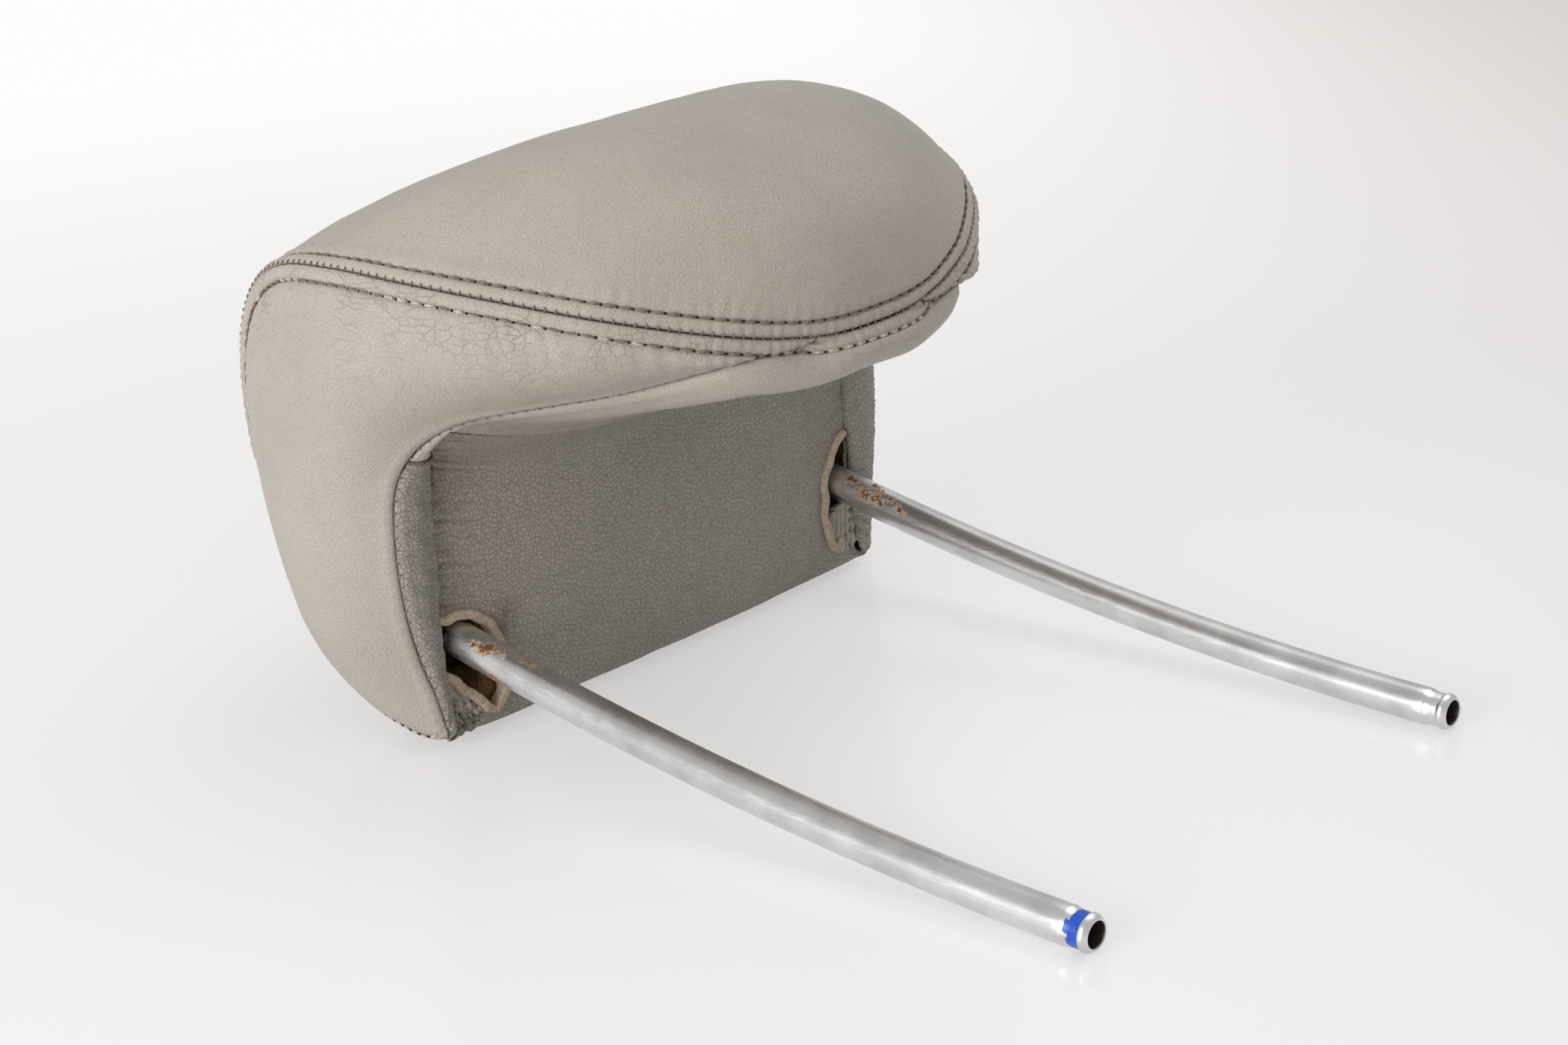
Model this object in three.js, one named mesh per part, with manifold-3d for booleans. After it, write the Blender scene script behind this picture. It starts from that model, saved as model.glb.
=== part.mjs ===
// Car headrest: a padded leather head pad that tilts on a bent tube with two posts.
// Millimetres. The headrest lies on its back, as it does on a table: +Z is the side that faces the head,
// -Y is the way the posts point, +X is across. The origin is on the table under the middle of the part.
import * as THREE from 'three';
import { mergeVertices } from 'three/addons/utils/BufferGeometryUtils.js';
import Module from 'manifold-3d';

const wasm = await Module();
wasm.setup();

// Post tube
const postDiameter = 12;
const postBore = 7.9;
const postSpacing = 183.7;
const postLegLength = 281;
const postTipSlope = 0.0196;
const postCurveRadius = 1363;
const postCornerRadius = 24;
const tipFaceDiameter = 9;
const tipNoseDiameter = 11.7;
const tipNoseChamfer = 1.9;
const tipNoseLength = 2.7;
const tipNeckDiameter = 10.9;
const tipNeckChamfer = 0.4;
const tipNeckLength = 5.2;
const tipShoulder = 1.4;

// Pad
const padDepth = 194.5;
const padHeight = 108.5;
const barInset = 54.411;
const barAboveBack = 45.759;
const lipWidth = 16.7;
const slotSideRoom = 1.1;
const slotAbove = 11.2;
const slotBelow = 20.8;
const slotCorner = 6;
const facingWall = 1;
const facingDepth = 10;
const facingProud = 3;
const slotPastEdge = 2.6;
const coverThickness = 2.7;
const assemblyGap = 0.3;
const seamDrawIn = 0.18;
const foamClearance = 0.5;

// Moulded core and tilt joint
const coreWidth = 124;
const coreLength = 46;
const coreBehindBar = 13.5;
const coreAheadOfBar = 64;
const coreWall = 3;
const coreCorner = 5;
const smallestCorner = 1;
const bushLength = 18;
const bushInset = 24;
const bushWall = 3;
const bushSplit = 3;
const capWall = 2.2;
const capEar = 9;
const capEarThickness = 3.5;
const capScrewDiameter = 3.5;
const capScrewLength = 9;
const coreScrewDiameter = 4;
const coreScrewLength = 18;
const coreBossDiameter = 9;
const bossInset = { x: 2, y: 1 };
const screwHeadRatio = 1.7;
const screwHeadHeight = 2.2;
const screwDome = { top: 0.55, rim: 0.35 };
const ribThickness = 2.4;
const ribCount = 3;
const ribSpacing = 20.5;
const ribAboveBush = 12;
const spineBelowBar = 2;
const cornerClearance = 4;
const tiltRoom = 8.5;

// How far a cutting tool reaches past what it cuts, and how far joined solids run into each other
const cutPast = 5;
const weldDepth = 1;

// Mesh fineness
const postSides = 16;
const boreSides = 12;
const legSteps = 8;
const cornerSteps = 5;
const bushSides = 20;
const bossSides = 12;
const screwSides = 8;
const panelColumns = 10;
const sideStations = [0, 0.2, 0.45, 0.7, 0.88, 1];
const gussetColumns = 2;
const rowsPerStation = 2;

// Derived places
const postRadius = postDiameter / 2;
const postX = postSpacing / 2;
const legHeight = (y) => postRadius + postTipSlope * y + (y * y) / (2 * postCurveRadius);
const legSlope = (y) => postTipSlope + y / postCurveRadius;
const topAngle = Math.atan(legSlope(postLegLength));
const barY = postLegLength + postCornerRadius * Math.cos(topAngle);
const barZ = legHeight(postLegLength) + postCornerRadius * Math.sin(topAngle);
const recessFaceY = barY - barInset;
const backZ = barZ - barAboveBack;
const slotHalfWidth = postRadius + slotSideRoom + facingWall + assemblyGap;
const recessHalfWidth = postX + slotHalfWidth - slotPastEdge;
const seamHalfWidth = recessHalfWidth + lipWidth;
const slotZ = legHeight(recessFaceY);
const slotLow = slotZ - slotBelow;
const slotHigh = slotZ + slotAbove;
const coreHalf = coreWidth / 2;
const bushOffset = coreHalf - bushInset;

// The cover is drawn at these sizes and stretched to the driving ones
const drawn = { seamHalfWidth: 114.6, padHeight: 108.5, padDepth: 194.5, recessFaceY: 250 };

// One row for each section of the pad, from the chin over the top and back down to the bottom edge.
// Front middle (y, z), front seam (x, y, z), lower seam (x, y, z), recess edge (x, y, z), underside middle (y, z)
const sections = [
  [[151, 135], [24, 153, 136], [24, 153, 136], [24, 153, 136], [151, 135]],
  [[150.5, 152.5], [41, 157, 139], [35, 162, 132.5], [35, 162, 132.5], [147, 127.5]],
  [[160.5, 171], [62, 165, 144.5], [50, 176, 128.5], [50, 176, 128.5], [157, 119]],
  [[183, 186], [87, 183.5, 152.5], [70, 194, 123.5], [70, 194, 123.5], [180, 113]],
  [[215, 194.5], [104, 208.5, 159], [88, 214.5, 120], [88, 214.5, 120], [206.5, 106]],
  [[249, 193], [114, 238.5, 163], [101, 232.5, 116], [101, 232.5, 116], [230.5, 98.5]],
  [[281, 182.5], [117, 269.5, 164.5], [108.5, 244.5, 109], [104.5, 245.5, 107], [243.5, 92.5]],
  [[310, 170], [114.5, 297.5, 161.5], [112.5, 252.5, 99], [98.5, 255.5, 98], [248.5, 84]],
  [[334, 155], [110, 318.5, 151.5], [114, 255.5, 90], [97.6, 257.8, 87], [249, 73]],
  [[351, 136.5], [107, 332, 135.5], [114.5, 256.5, 81], [97.6, 258.5, 76], [249, 63]],
  [[359, 114], [105, 338.5, 114], [114.6, 257, 72], [97.6, 258.5, 66], [249, 54]],
  [[358.5, 88], [104, 338, 89.5], [114.4, 257, 62], [97.6, 258.5, 56], [249, 46]],
  [[351, 60], [104, 330, 61], [113, 257, 49], [97.6, 258.5, 45], [249.3, 37]],
  [[335.5, 31], [104, 314, 31], [110, 256.5, 34], [97.6, 258.5, 33], [249.8, 28]],
  [[312, 9], [104.5, 293, 13], [106.5, 255, 21], [97.8, 258.5, 22], [250.5, 19]],
  [[287, 1], [104.5, 274, 6.5], [104.5, 254.5, 12], [98.5, 257.8, 13.5], [251.2, 12]],
  [[267, 0], [104, 262, 4.5], [103.5, 254.5, 7.5], [100, 256.8, 8], [252.6, 6.5]],
  [[256.5, 2.5], [103, 255.5, 4.5], [103, 255.5, 4.5], [103, 255.5, 4.5], [256.5, 2.5]],
];
const rowCount = (sections.length - 1) * rowsPerStation + 1;
const [gussetStart, recessTop, backSeam] = [5, 7, 11];
const gussetStartRow = gussetStart * rowsPerStation;
const recessTopRow = recessTop * rowsPerStation;
const backSeamRow = backSeam * rowsPerStation;

// How round the strips are across, and how the side panels swell, along the sections
const frontCrown = [[0, 2.4], [2, 3], [3, 4], [7, 4], [10, 2.6], [17, 2.4]];
const underCrown = [[0, 2.4], [17, 2.4]];
const sideSwellFront = [[0, 0.9], [4, 0.9], [6, 0.7], [7.5, 0.35], [9, 0.45], [11, 0.85], [13, 1], [17, 0.8]];
const sideSwellBack = [[0, 1.3], [5, 1.4], [7, 1.5], [17, 1.5]];
const swellTurn = [[0, 75], [1, 65], [2, 55], [3, 42], [4, 25], [5, 8], [7, 0], [17, 0]];
const swellShare = { front: 0.9, back: 0.8 };
const swellReach = 70;
const swellExtra = 4;
const swellFullWidth = 8;
const gussetSwell = 3.5;
const gussetFullWidth = 12;

const leather = new THREE.MeshStandardMaterial({ color: 0x9a978c, roughness: 0.55, metalness: 0 });
const recessLeather = new THREE.MeshStandardMaterial({ color: 0x827f75, roughness: 0.6, metalness: 0 });
const rawLeather = new THREE.MeshStandardMaterial({ color: 0xb9ad94, roughness: 0.9, metalness: 0 });
const foam = new THREE.MeshStandardMaterial({ color: 0xc2a35a, roughness: 0.95, metalness: 0 });
const steel = new THREE.MeshStandardMaterial({ color: 0xb4b6b8, roughness: 0.32, metalness: 1 });
const blackPlastic = new THREE.MeshStandardMaterial({ color: 0x1d1d1f, roughness: 0.5, metalness: 0 });
const bushPlastic = new THREE.MeshStandardMaterial({ color: 0xd9d4c6, roughness: 0.4, metalness: 0 });
const zincSteel = new THREE.MeshStandardMaterial({ color: 0x9c9e9a, roughness: 0.35, metalness: 1 });

const headrest = new THREE.Group();

function addPiece(name, geometry, material) {
  geometry.computeVertexNormals();
  const mesh = new THREE.Mesh(geometry, material);
  mesh.name = name;
  headrest.add(mesh);
  return mesh;
}

// Solids: closed geometries to manifold and back
const mergeDistance = 1e-4;

function toSolid(geometry) {
  const plain = geometry.clone();
  plain.deleteAttribute('normal');
  plain.deleteAttribute('uv');
  const merged = mergeVertices(plain, mergeDistance);
  const vertProperties = new Float32Array(merged.attributes.position.array);
  const triVerts = new Uint32Array(merged.index.array);
  return new wasm.Manifold(new wasm.Mesh({ numProp: 3, vertProperties, triVerts }));
}

function toGeometry(solid) {
  const mesh = solid.getMesh();
  const geometry = new THREE.BufferGeometry();
  geometry.setAttribute('position', new THREE.BufferAttribute(new Float32Array(mesh.vertProperties), 3));
  geometry.setIndex(new THREE.BufferAttribute(new Uint32Array(mesh.triVerts), 1));
  return geometry;
}

const join = (solids) => solids.reduce((whole, next) => whole.add(next));
const cut = (solid, tools) => tools.reduce((whole, tool) => whole.subtract(tool), solid);

function block(x0, x1, y0, y1, z0, z1) {
  const box = new THREE.BoxGeometry(x1 - x0, y1 - y0, z1 - z0);
  box.translate((x0 + x1) / 2, (y0 + y1) / 2, (z0 + z1) / 2);
  return toSolid(box);
}

// A lathe about the origin's Z axis, from (radius, height) pairs that start and end on the axis
function turned(profile, sides) {
  const points = profile.map(([radius, height]) => new THREE.Vector2(radius, height));
  const lathe = new THREE.LatheGeometry(points, sides);
  lathe.rotateX(Math.PI / 2);
  return lathe;
}

// A rod along X
function rodX(x0, x1, y, z, radius, sides) {
  const rod = new THREE.CylinderGeometry(radius, radius, x1 - x0, sides);
  rod.rotateZ(Math.PI / 2);
  rod.translate((x0 + x1) / 2, y, z);
  return toSolid(rod);
}

// A rod along Z
function rodZ(x, y, z0, z1, radius, sides) {
  const rod = new THREE.CylinderGeometry(radius, radius, z1 - z0, sides);
  rod.rotateX(Math.PI / 2);
  rod.translate(x, y, (z0 + z1) / 2);
  return toSolid(rod);
}

// What a screw or its head needs cut out for it
const screwHole = (x, y, z0, z1, diameter) => rodZ(x, y, z0, z1, diameter / 2 + assemblyGap, screwSides);

// A prism along X from a side-view outline of (y, z) pairs
function prismX(x0, x1, outline) {
  const shape = new THREE.Shape(outline.map(([y, z]) => new THREE.Vector2(y, z)));
  const prism = new THREE.ExtrudeGeometry(shape, { depth: x1 - x0, bevelEnabled: false });
  prism.applyMatrix4(new THREE.Matrix4().makeBasis(
    new THREE.Vector3(0, 1, 0),
    new THREE.Vector3(0, 0, 1),
    new THREE.Vector3(1, 0, 0),
  ));
  prism.translate(x0, 0, 0);
  return toSolid(prism);
}

function roundedShape(halfWidth, low, high, corner, segmentsPerCorner = 3) {
  const points = [];
  const [right, left] = [halfWidth - corner, corner - halfWidth];
  const [top, bottom] = [high - corner, low + corner];
  [[right, top], [left, top], [left, bottom], [right, bottom]].forEach(([centreX, centreY], quarter) => {
    for (let k = 0; k <= segmentsPerCorner; k += 1) {
      const angle = (quarter + k / segmentsPerCorner) * (Math.PI / 2);
      points.push(new THREE.Vector2(centreX + corner * Math.cos(angle), centreY + corner * Math.sin(angle)));
    }
  });
  return points;
}

// A prism along Y from an outline in X and Z
function prismY(outline, hole, y0, y1, centreX) {
  const shape = new THREE.Shape(outline);
  if (hole) shape.holes.push(new THREE.Path(hole));
  const prism = new THREE.ExtrudeGeometry(shape, { depth: y1 - y0, bevelEnabled: false });
  prism.rotateX(Math.PI / 2);
  prism.translate(centreX, y1, 0);
  return toSolid(prism);
}

// The bent tube: a leg that curves gently, a corner, the crossbar, and the mirrored half
class FramePath extends THREE.Curve {
  constructor() {
    super();
    this.steps = 2 * (legSteps + cornerSteps) + 1;
  }

  halfPoint(step) {
    if (step <= legSteps) {
      const y = (postLegLength * step) / legSteps;
      return new THREE.Vector3(-postX, y, legHeight(y));
    }
    const turn = ((step - legSteps) / cornerSteps) * (Math.PI / 2);
    const along = postCornerRadius * Math.sin(turn);
    return new THREE.Vector3(
      -postX + postCornerRadius * (1 - Math.cos(turn)),
      postLegLength + along * Math.cos(topAngle),
      legHeight(postLegLength) + along * Math.sin(topAngle),
    );
  }

  getPoint(t, target = new THREE.Vector3()) {
    const step = t * this.steps;
    const half = legSteps + cornerSteps;
    if (step <= half) return target.copy(this.halfPoint(step));
    const point = this.halfPoint(Math.max(0, Math.min(half, this.steps - step)));
    point.x = -point.x;
    if (step < half + 1) {
      const end = this.halfPoint(half);
      return target.copy(end).lerp(point.set(-end.x, end.y, end.z), step - half);
    }
    return target.copy(point);
  }

  getTangent(t, target = new THREE.Vector3()) {
    const step = t * this.steps;
    const half = legSteps + cornerSteps;
    const mirrored = step > half + 0.5;
    const own = Math.max(0, mirrored ? this.steps - step : step);
    if (own >= half - 1e-6) return target.set(1, 0, 0);
    if (own <= legSteps) {
      const y = (postLegLength * own) / legSteps;
      target.set(0, 1, legSlope(y)).normalize();
    } else {
      const turn = ((own - legSteps) / cornerSteps) * (Math.PI / 2);
      target.set(Math.sin(turn), Math.cos(turn) * Math.cos(topAngle), Math.cos(turn) * Math.sin(topAngle));
    }
    if (mirrored) target.set(target.x, -target.y, -target.z);
    return target;
  }

  getPointAt(u, target) {
    return this.getPoint(u, target);
  }

  getTangentAt(u, target) {
    return this.getTangent(u, target);
  }
}

function circlePoints(radius, sides) {
  const points = [];
  for (let k = 0; k < sides; k += 1) {
    const angle = (2 * Math.PI * k) / sides;
    points.push(new THREE.Vector2(radius * Math.cos(angle), radius * Math.sin(angle)));
  }
  return points;
}

function postFrame() {
  const path = new FramePath();
  const wall = new THREE.Shape(circlePoints(postRadius, postSides));
  wall.holes.push(new THREE.Path(circlePoints(postBore / 2, boreSides)));
  const tube = toSolid(new THREE.ExtrudeGeometry(wall, { steps: path.steps, extrudePath: path }));

  // What the lathe takes off each end, down to the chamfered nose, the neck behind it and its shoulder
  const beyond = postRadius + cutPast;
  const neckEnd = tipNoseLength + tipNeckLength;
  const turnings = turned([
    [0, -cutPast], [beyond, -cutPast], [beyond, neckEnd + tipShoulder], [postRadius, neckEnd + tipShoulder],
    [tipNeckDiameter / 2, neckEnd], [tipNeckDiameter / 2, tipNoseLength + tipNeckChamfer],
    [tipNoseDiameter / 2, tipNoseLength], [tipNoseDiameter / 2, tipNoseChamfer],
    [tipFaceDiameter / 2, 0], [0, 0],
  ], postSides);
  const tools = [-1, 1].map((side) => {
    const tool = turnings.clone();
    tool.rotateX(-Math.PI / 2 + Math.atan(postTipSlope));
    tool.translate(side * postX, 0, postRadius);
    return toSolid(tool);
  });
  return toGeometry(cut(tube, tools));
}

// The pad's surface
function stretched([x, y, z]) {
  return [
    (x * seamHalfWidth) / drawn.seamHalfWidth,
    recessFaceY + ((y - drawn.recessFaceY) * padHeight) / drawn.padHeight,
    backZ + (z * padDepth) / drawn.padDepth,
  ];
}

function seamCurve(column) {
  const points = sections.map((row) => {
    const place = row[column].length === 2 ? [0, ...row[column]] : row[column];
    return new THREE.Vector3(...stretched(place));
  });
  return new THREE.CatmullRomCurve3(points, false, 'catmullrom', 0.5);
}

function tableValue(table, at) {
  const last = table.length - 1;
  let k = 0;
  while (k < last - 1 && table[k + 1][0] <= at) k += 1;
  const [[from, low], [to, high]] = [table[k], table[k + 1]];
  return THREE.MathUtils.lerp(low, high, THREE.MathUtils.clamp((at - from) / (to - from), 0, 1));
}

const frontMiddle = seamCurve(0);
const frontSeam = seamCurve(1);
const lowerSeam = seamCurve(2);
const recessEdge = seamCurve(3);
const underMiddle = seamCurve(4);

// The underside meets the side panels at the chin, and the gussets from where they begin
const underEdge = {
  getPoint: (at) => (at * (rowCount - 1) <= gussetStartRow + 1e-6 ? lowerSeam : recessEdge).getPoint(at),
};

function stripRow(middle, edge, crown, at) {
  const centre = middle.getPoint(at);
  const seam = edge.getPoint(at);
  const power = tableValue(crown, at * (sections.length - 1));
  const row = [];
  for (let k = 0; k <= panelColumns; k += 1) {
    const across = (2 * k) / panelColumns - 1;
    const blend = Math.abs(across) ** power;
    row.push(new THREE.Vector3(
      across * seam.x,
      THREE.MathUtils.lerp(centre.y, seam.y, blend),
      THREE.MathUtils.lerp(centre.z, seam.z, blend),
    ));
  }
  return row;
}

function sideRow(at, side) {
  const from = frontSeam.getPoint(at);
  const to = lowerSeam.getPoint(at);
  const chord = to.clone().sub(from);
  const width = chord.length();
  const station = at * (sections.length - 1);
  const turn = THREE.MathUtils.degToRad(tableValue(swellTurn, station));
  const outward = new THREE.Vector3(Math.cos(turn), -Math.sin(turn), 0);
  const reach = Math.min(width + swellExtra * Math.min(1, width / swellFullWidth), swellReach);
  const front = swellShare.front * reach * tableValue(sideSwellFront, station);
  const back = swellShare.back * reach * tableValue(sideSwellBack, station);
  const leave = chord.clone().addScaledVector(outward, front);
  const arrive = chord.clone().addScaledVector(outward, -back);
  return sideStations.map((v) => {
    const point = new THREE.Vector3();
    point.addScaledVector(from, 2 * v ** 3 - 3 * v ** 2 + 1);
    point.addScaledVector(leave, v ** 3 - 2 * v ** 2 + v);
    point.addScaledVector(to, -2 * v ** 3 + 3 * v ** 2);
    point.addScaledVector(arrive, v ** 3 - v ** 2);
    point.x *= side;
    return point;
  });
}

function gussetRow(at, side) {
  const lip = lowerSeam.getPoint(at);
  const inner = underEdge.getPoint(at);
  const width = lip.distanceTo(inner);
  const row = [];
  for (let k = 0; k <= gussetColumns; k += 1) {
    const v = k / gussetColumns;
    const point = lip.clone().lerp(inner, v);
    point.y -= gussetSwell * Math.sin(Math.PI * v) * Math.min(1, width / gussetFullWidth);
    point.x *= side;
    row.push(point);
  }
  return row;
}

// One shared set of points, so that neighbouring panels meet on the same seam points
const skinPoints = [];
const skinLookup = new Map();
const skinMerge = 0.005;

function skinPoint(point) {
  const key = [point.x, point.y, point.z].map((value) => Math.round(value / skinMerge)).join(' ');
  if (!skinLookup.has(key)) {
    skinLookup.set(key, skinPoints.length);
    skinPoints.push(point.clone());
  }
  return skinLookup.get(key);
}

function gridOf(rowAt, firstRow = 0) {
  const grid = [];
  for (let row = firstRow; row < rowCount; row += 1) {
    grid.push(rowAt(row / (rowCount - 1)).map(skinPoint));
  }
  return grid;
}

// Two triangles to a quad, cut on the mirrored diagonal in the second half of a strip across the middle
function facesOf(grid, flip, isStrip) {
  const faces = [];
  for (let i = 0; i + 1 < grid.length; i += 1) {
    for (let j = 0; j + 1 < grid[i].length; j += 1) {
      const [a, b, c, d] = [grid[i][j], grid[i][j + 1], grid[i + 1][j + 1], grid[i + 1][j]];
      const mirrored = isStrip && 2 * j + 1 > grid[i].length - 1;
      const halves = mirrored ? [[a, b, d], [b, c, d]] : [[a, b, c], [a, c, d]];
      for (const face of halves) {
        if (new Set(face).size === 3) faces.push(flip ? face.reverse() : face);
      }
    }
  }
  return faces;
}

const frontGrid = gridOf((at) => stripRow(frontMiddle, frontSeam, frontCrown, at));
const underGrid = gridOf((at) => stripRow(underMiddle, underEdge, underCrown, at));
const sideGrids = { left: gridOf((at) => sideRow(at, -1)), right: gridOf((at) => sideRow(at, 1)) };
const gussetGrids = {
  left: gridOf((at) => gussetRow(at, -1), gussetStartRow),
  right: gridOf((at) => gussetRow(at, 1), gussetStartRow),
};

const skinFaces = {
  front_panel: facesOf(frontGrid.slice(0, backSeamRow + 1), false, true),
  rear_panel: [
    ...facesOf(frontGrid.slice(backSeamRow), false, true),
    ...facesOf(underGrid.slice(recessTopRow), true, true),
  ],
  chin_gusset: facesOf(underGrid.slice(0, recessTopRow + 1), true, true),
  side_panel_left: facesOf(sideGrids.left, true, false),
  side_panel_right: facesOf(sideGrids.right, false, false),
  recess_gusset_left: facesOf(gussetGrids.left, true, false),
  recess_gusset_right: facesOf(gussetGrids.right, false, false),
};

function skinNormals() {
  const normals = skinPoints.map(() => new THREE.Vector3());
  const [ab, ac] = [new THREE.Vector3(), new THREE.Vector3()];
  for (const [a, b, c] of Object.values(skinFaces).flat()) {
    ab.subVectors(skinPoints[b], skinPoints[a]);
    ac.subVectors(skinPoints[c], skinPoints[a]);
    const area = ab.clone().cross(ac);
    for (const corner of [a, b, c]) normals[corner].add(area);
  }
  return normals.map((normal) => normal.normalize());
}

const outwardAt = skinNormals();
const sunk = (index, depth) => skinPoints[index].clone().addScaledVector(outwardAt[index], -depth);

function meshGeometry(points, faces) {
  const geometry = new THREE.BufferGeometry();
  geometry.setAttribute('position', new THREE.Float32BufferAttribute(points.flatMap((p) => [p.x, p.y, p.z]), 3));
  geometry.setIndex(faces.flat());
  return geometry;
}

// A sewn panel: its patch of the skin, as thick as the cover, drawn in at its seams by about half the gap
function panelGeometry(faces, drawnIn = seamDrawIn, thickness = coverThickness) {
  const corners = [...new Set(faces.flat())];
  const order = new Map(corners.map((index, place) => [index, place]));
  const edges = new Map();
  for (const face of faces) {
    for (let k = 0; k < 3; k += 1) {
      const [from, to] = [face[k], face[(k + 1) % 3]];
      const back = `${to} ${from}`;
      if (edges.has(back)) edges.delete(back);
      else edges.set(`${from} ${to}`, [from, to]);
    }
  }
  const drawIn = new Map();
  const rim = new Set([...edges.values()].flat());
  for (const face of faces) {
    const middle = face.reduce((sum, index) => sum.add(skinPoints[index]), new THREE.Vector3()).divideScalar(3);
    for (const index of face) {
      if (!rim.has(index)) continue;
      if (!drawIn.has(index)) drawIn.set(index, new THREE.Vector3());
      drawIn.get(index).add(middle.clone().sub(skinPoints[index]));
    }
  }
  const place = (index, depth) => {
    const point = sunk(index, depth);
    if (drawIn.has(index)) point.addScaledVector(drawIn.get(index).clone().normalize(), drawnIn);
    return point;
  };
  const points = [0, thickness].flatMap((depth) => corners.map((index) => place(index, depth)));
  const count = corners.length;
  const outer = faces.map((face) => face.map((index) => order.get(index)));
  const inner = outer.map(([a, b, c]) => [a + count, c + count, b + count]);
  const walls = [...edges.values()].flatMap(([from, to]) => {
    const [a, b] = [order.get(from), order.get(to)];
    return [[b, a, a + count], [b, a + count, b + count]];
  });
  return meshGeometry(points, [...outer, ...inner, ...walls]);
}

// Where narrow panel tips would run into each other, a panel gives way to the ones sewn before it,
// and what is trimmed off it beyond them is no part of it
const sewn = {};

function sewPanel(name, sewnBefore, openings = []) {
  const clearOf = sewnBefore.flatMap((other) => [
    toSolid(panelGeometry(skinFaces[other], 0, coverThickness + assemblyGap)),
    sewn[other],
  ]);
  const trimmed = cut(toSolid(panelGeometry(skinFaces[name])), [...clearOf, ...openings]);
  const pieces = trimmed.decompose().sort((one, other) => other.volume() - one.volume());
  [sewn[name]] = pieces;
  return toGeometry(sewn[name]);
}

// Post slots through the cover
const cutLead = 12;
const facingEnd = recessFaceY + facingProud + facingDepth;

function slotTool(side, endY) {
  const outline = roundedShape(slotHalfWidth, slotLow, slotHigh, slotCorner);
  return prismY(outline, null, recessFaceY - cutLead, endY, side * postX);
}

function slotFacing(side) {
  const ringOutline = (inset) => roundedShape(
    slotHalfWidth - inset, slotLow + inset, slotHigh - inset, slotCorner - inset,
  );
  const ring = prismY(ringOutline(assemblyGap), ringOutline(assemblyGap + facingWall),
    facingEnd - facingDepth, facingEnd, side * postX);
  return toGeometry(ring);
}

// Space round the facing and the tube inside the foam, wide enough for the whole tilt
function tunnelTool(side) {
  const halfWidth = slotHalfWidth + assemblyGap;
  const mouthY = recessFaceY - cutLead;
  const neckY = facingEnd + assemblyGap;
  const farY = barY + tiltRoom;
  const cornerY = postLegLength - postRadius - cornerClearance;
  const lowAt = (y) => THREE.MathUtils.mapLinear(y, neckY, farY, slotLow - assemblyGap, barZ - tiltRoom);
  const highAt = (y) => THREE.MathUtils.mapLinear(y, mouthY, farY, slotHigh + assemblyGap, barZ + tiltRoom);
  const back = [[farY, lowAt(farY)], [farY, highAt(farY)]];
  const legRoom = [[mouthY, lowAt(neckY)], [neckY, lowAt(neckY)], ...back, [mouthY, highAt(mouthY)]];
  const cornerRoom = [[cornerY, lowAt(cornerY)], ...back, [cornerY, highAt(cornerY)]];
  const spans = [[postX - halfWidth, postX + halfWidth, legRoom], [coreHalf - weldDepth, postX, cornerRoom]];
  return join(spans.map(([x0, x1, outline]) => (
    side > 0 ? prismX(x0, x1, outline) : prismX(-x1, -x0, outline)
  )));
}

const coreLow = { y: barY - coreLength / 2, z: barZ - coreBehindBar };
const coreHigh = { y: coreLow.y + coreLength, z: barZ + coreAheadOfBar };

function coreBlock(inset, z0, z1) {
  const corner = Math.max(smallestCorner, coreCorner - inset);
  const outline = roundedShape(coreHalf - inset, coreLow.y + inset, coreHigh.y - inset, corner);
  const prism = new THREE.ExtrudeGeometry(new THREE.Shape(outline), { depth: z1 - z0, bevelEnabled: false });
  prism.translate(0, 0, z0);
  return toSolid(prism);
}

function foamPad() {
  const depth = coverThickness + foamClearance;
  const points = skinPoints.map((point, index) => sunk(index, depth));
  const pad = toSolid(meshGeometry(points, Object.values(skinFaces).flat()));
  const coreRoom = coreBlock(-assemblyGap, coreLow.z - assemblyGap, coreHigh.z + assemblyGap);
  return toGeometry(cut(pad, [coreRoom, tunnelTool(-1), tunnelTool(1)]));
}

// Core: two moulded shells that meet at the crossbar, screwed together at four bosses
const bushRadius = postRadius + assemblyGap + bushWall;
const saddleRadius = bushRadius + assemblyGap;
const bossReach = { x: bossInset.x + coreBossDiameter / 2, y: bossInset.y + coreBossDiameter / 2 };
const bossPlaces = [coreLow.y + bossReach.y, coreHigh.y - bossReach.y].flatMap((y) => (
  [-1, 1].map((side) => [side * (coreHalf - bossReach.x), y])
));
const barHole = () => (
  rodX(-coreHalf - cutPast, coreHalf + cutPast, barY, barZ, postRadius + 2 * assemblyGap, bushSides)
);

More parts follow.
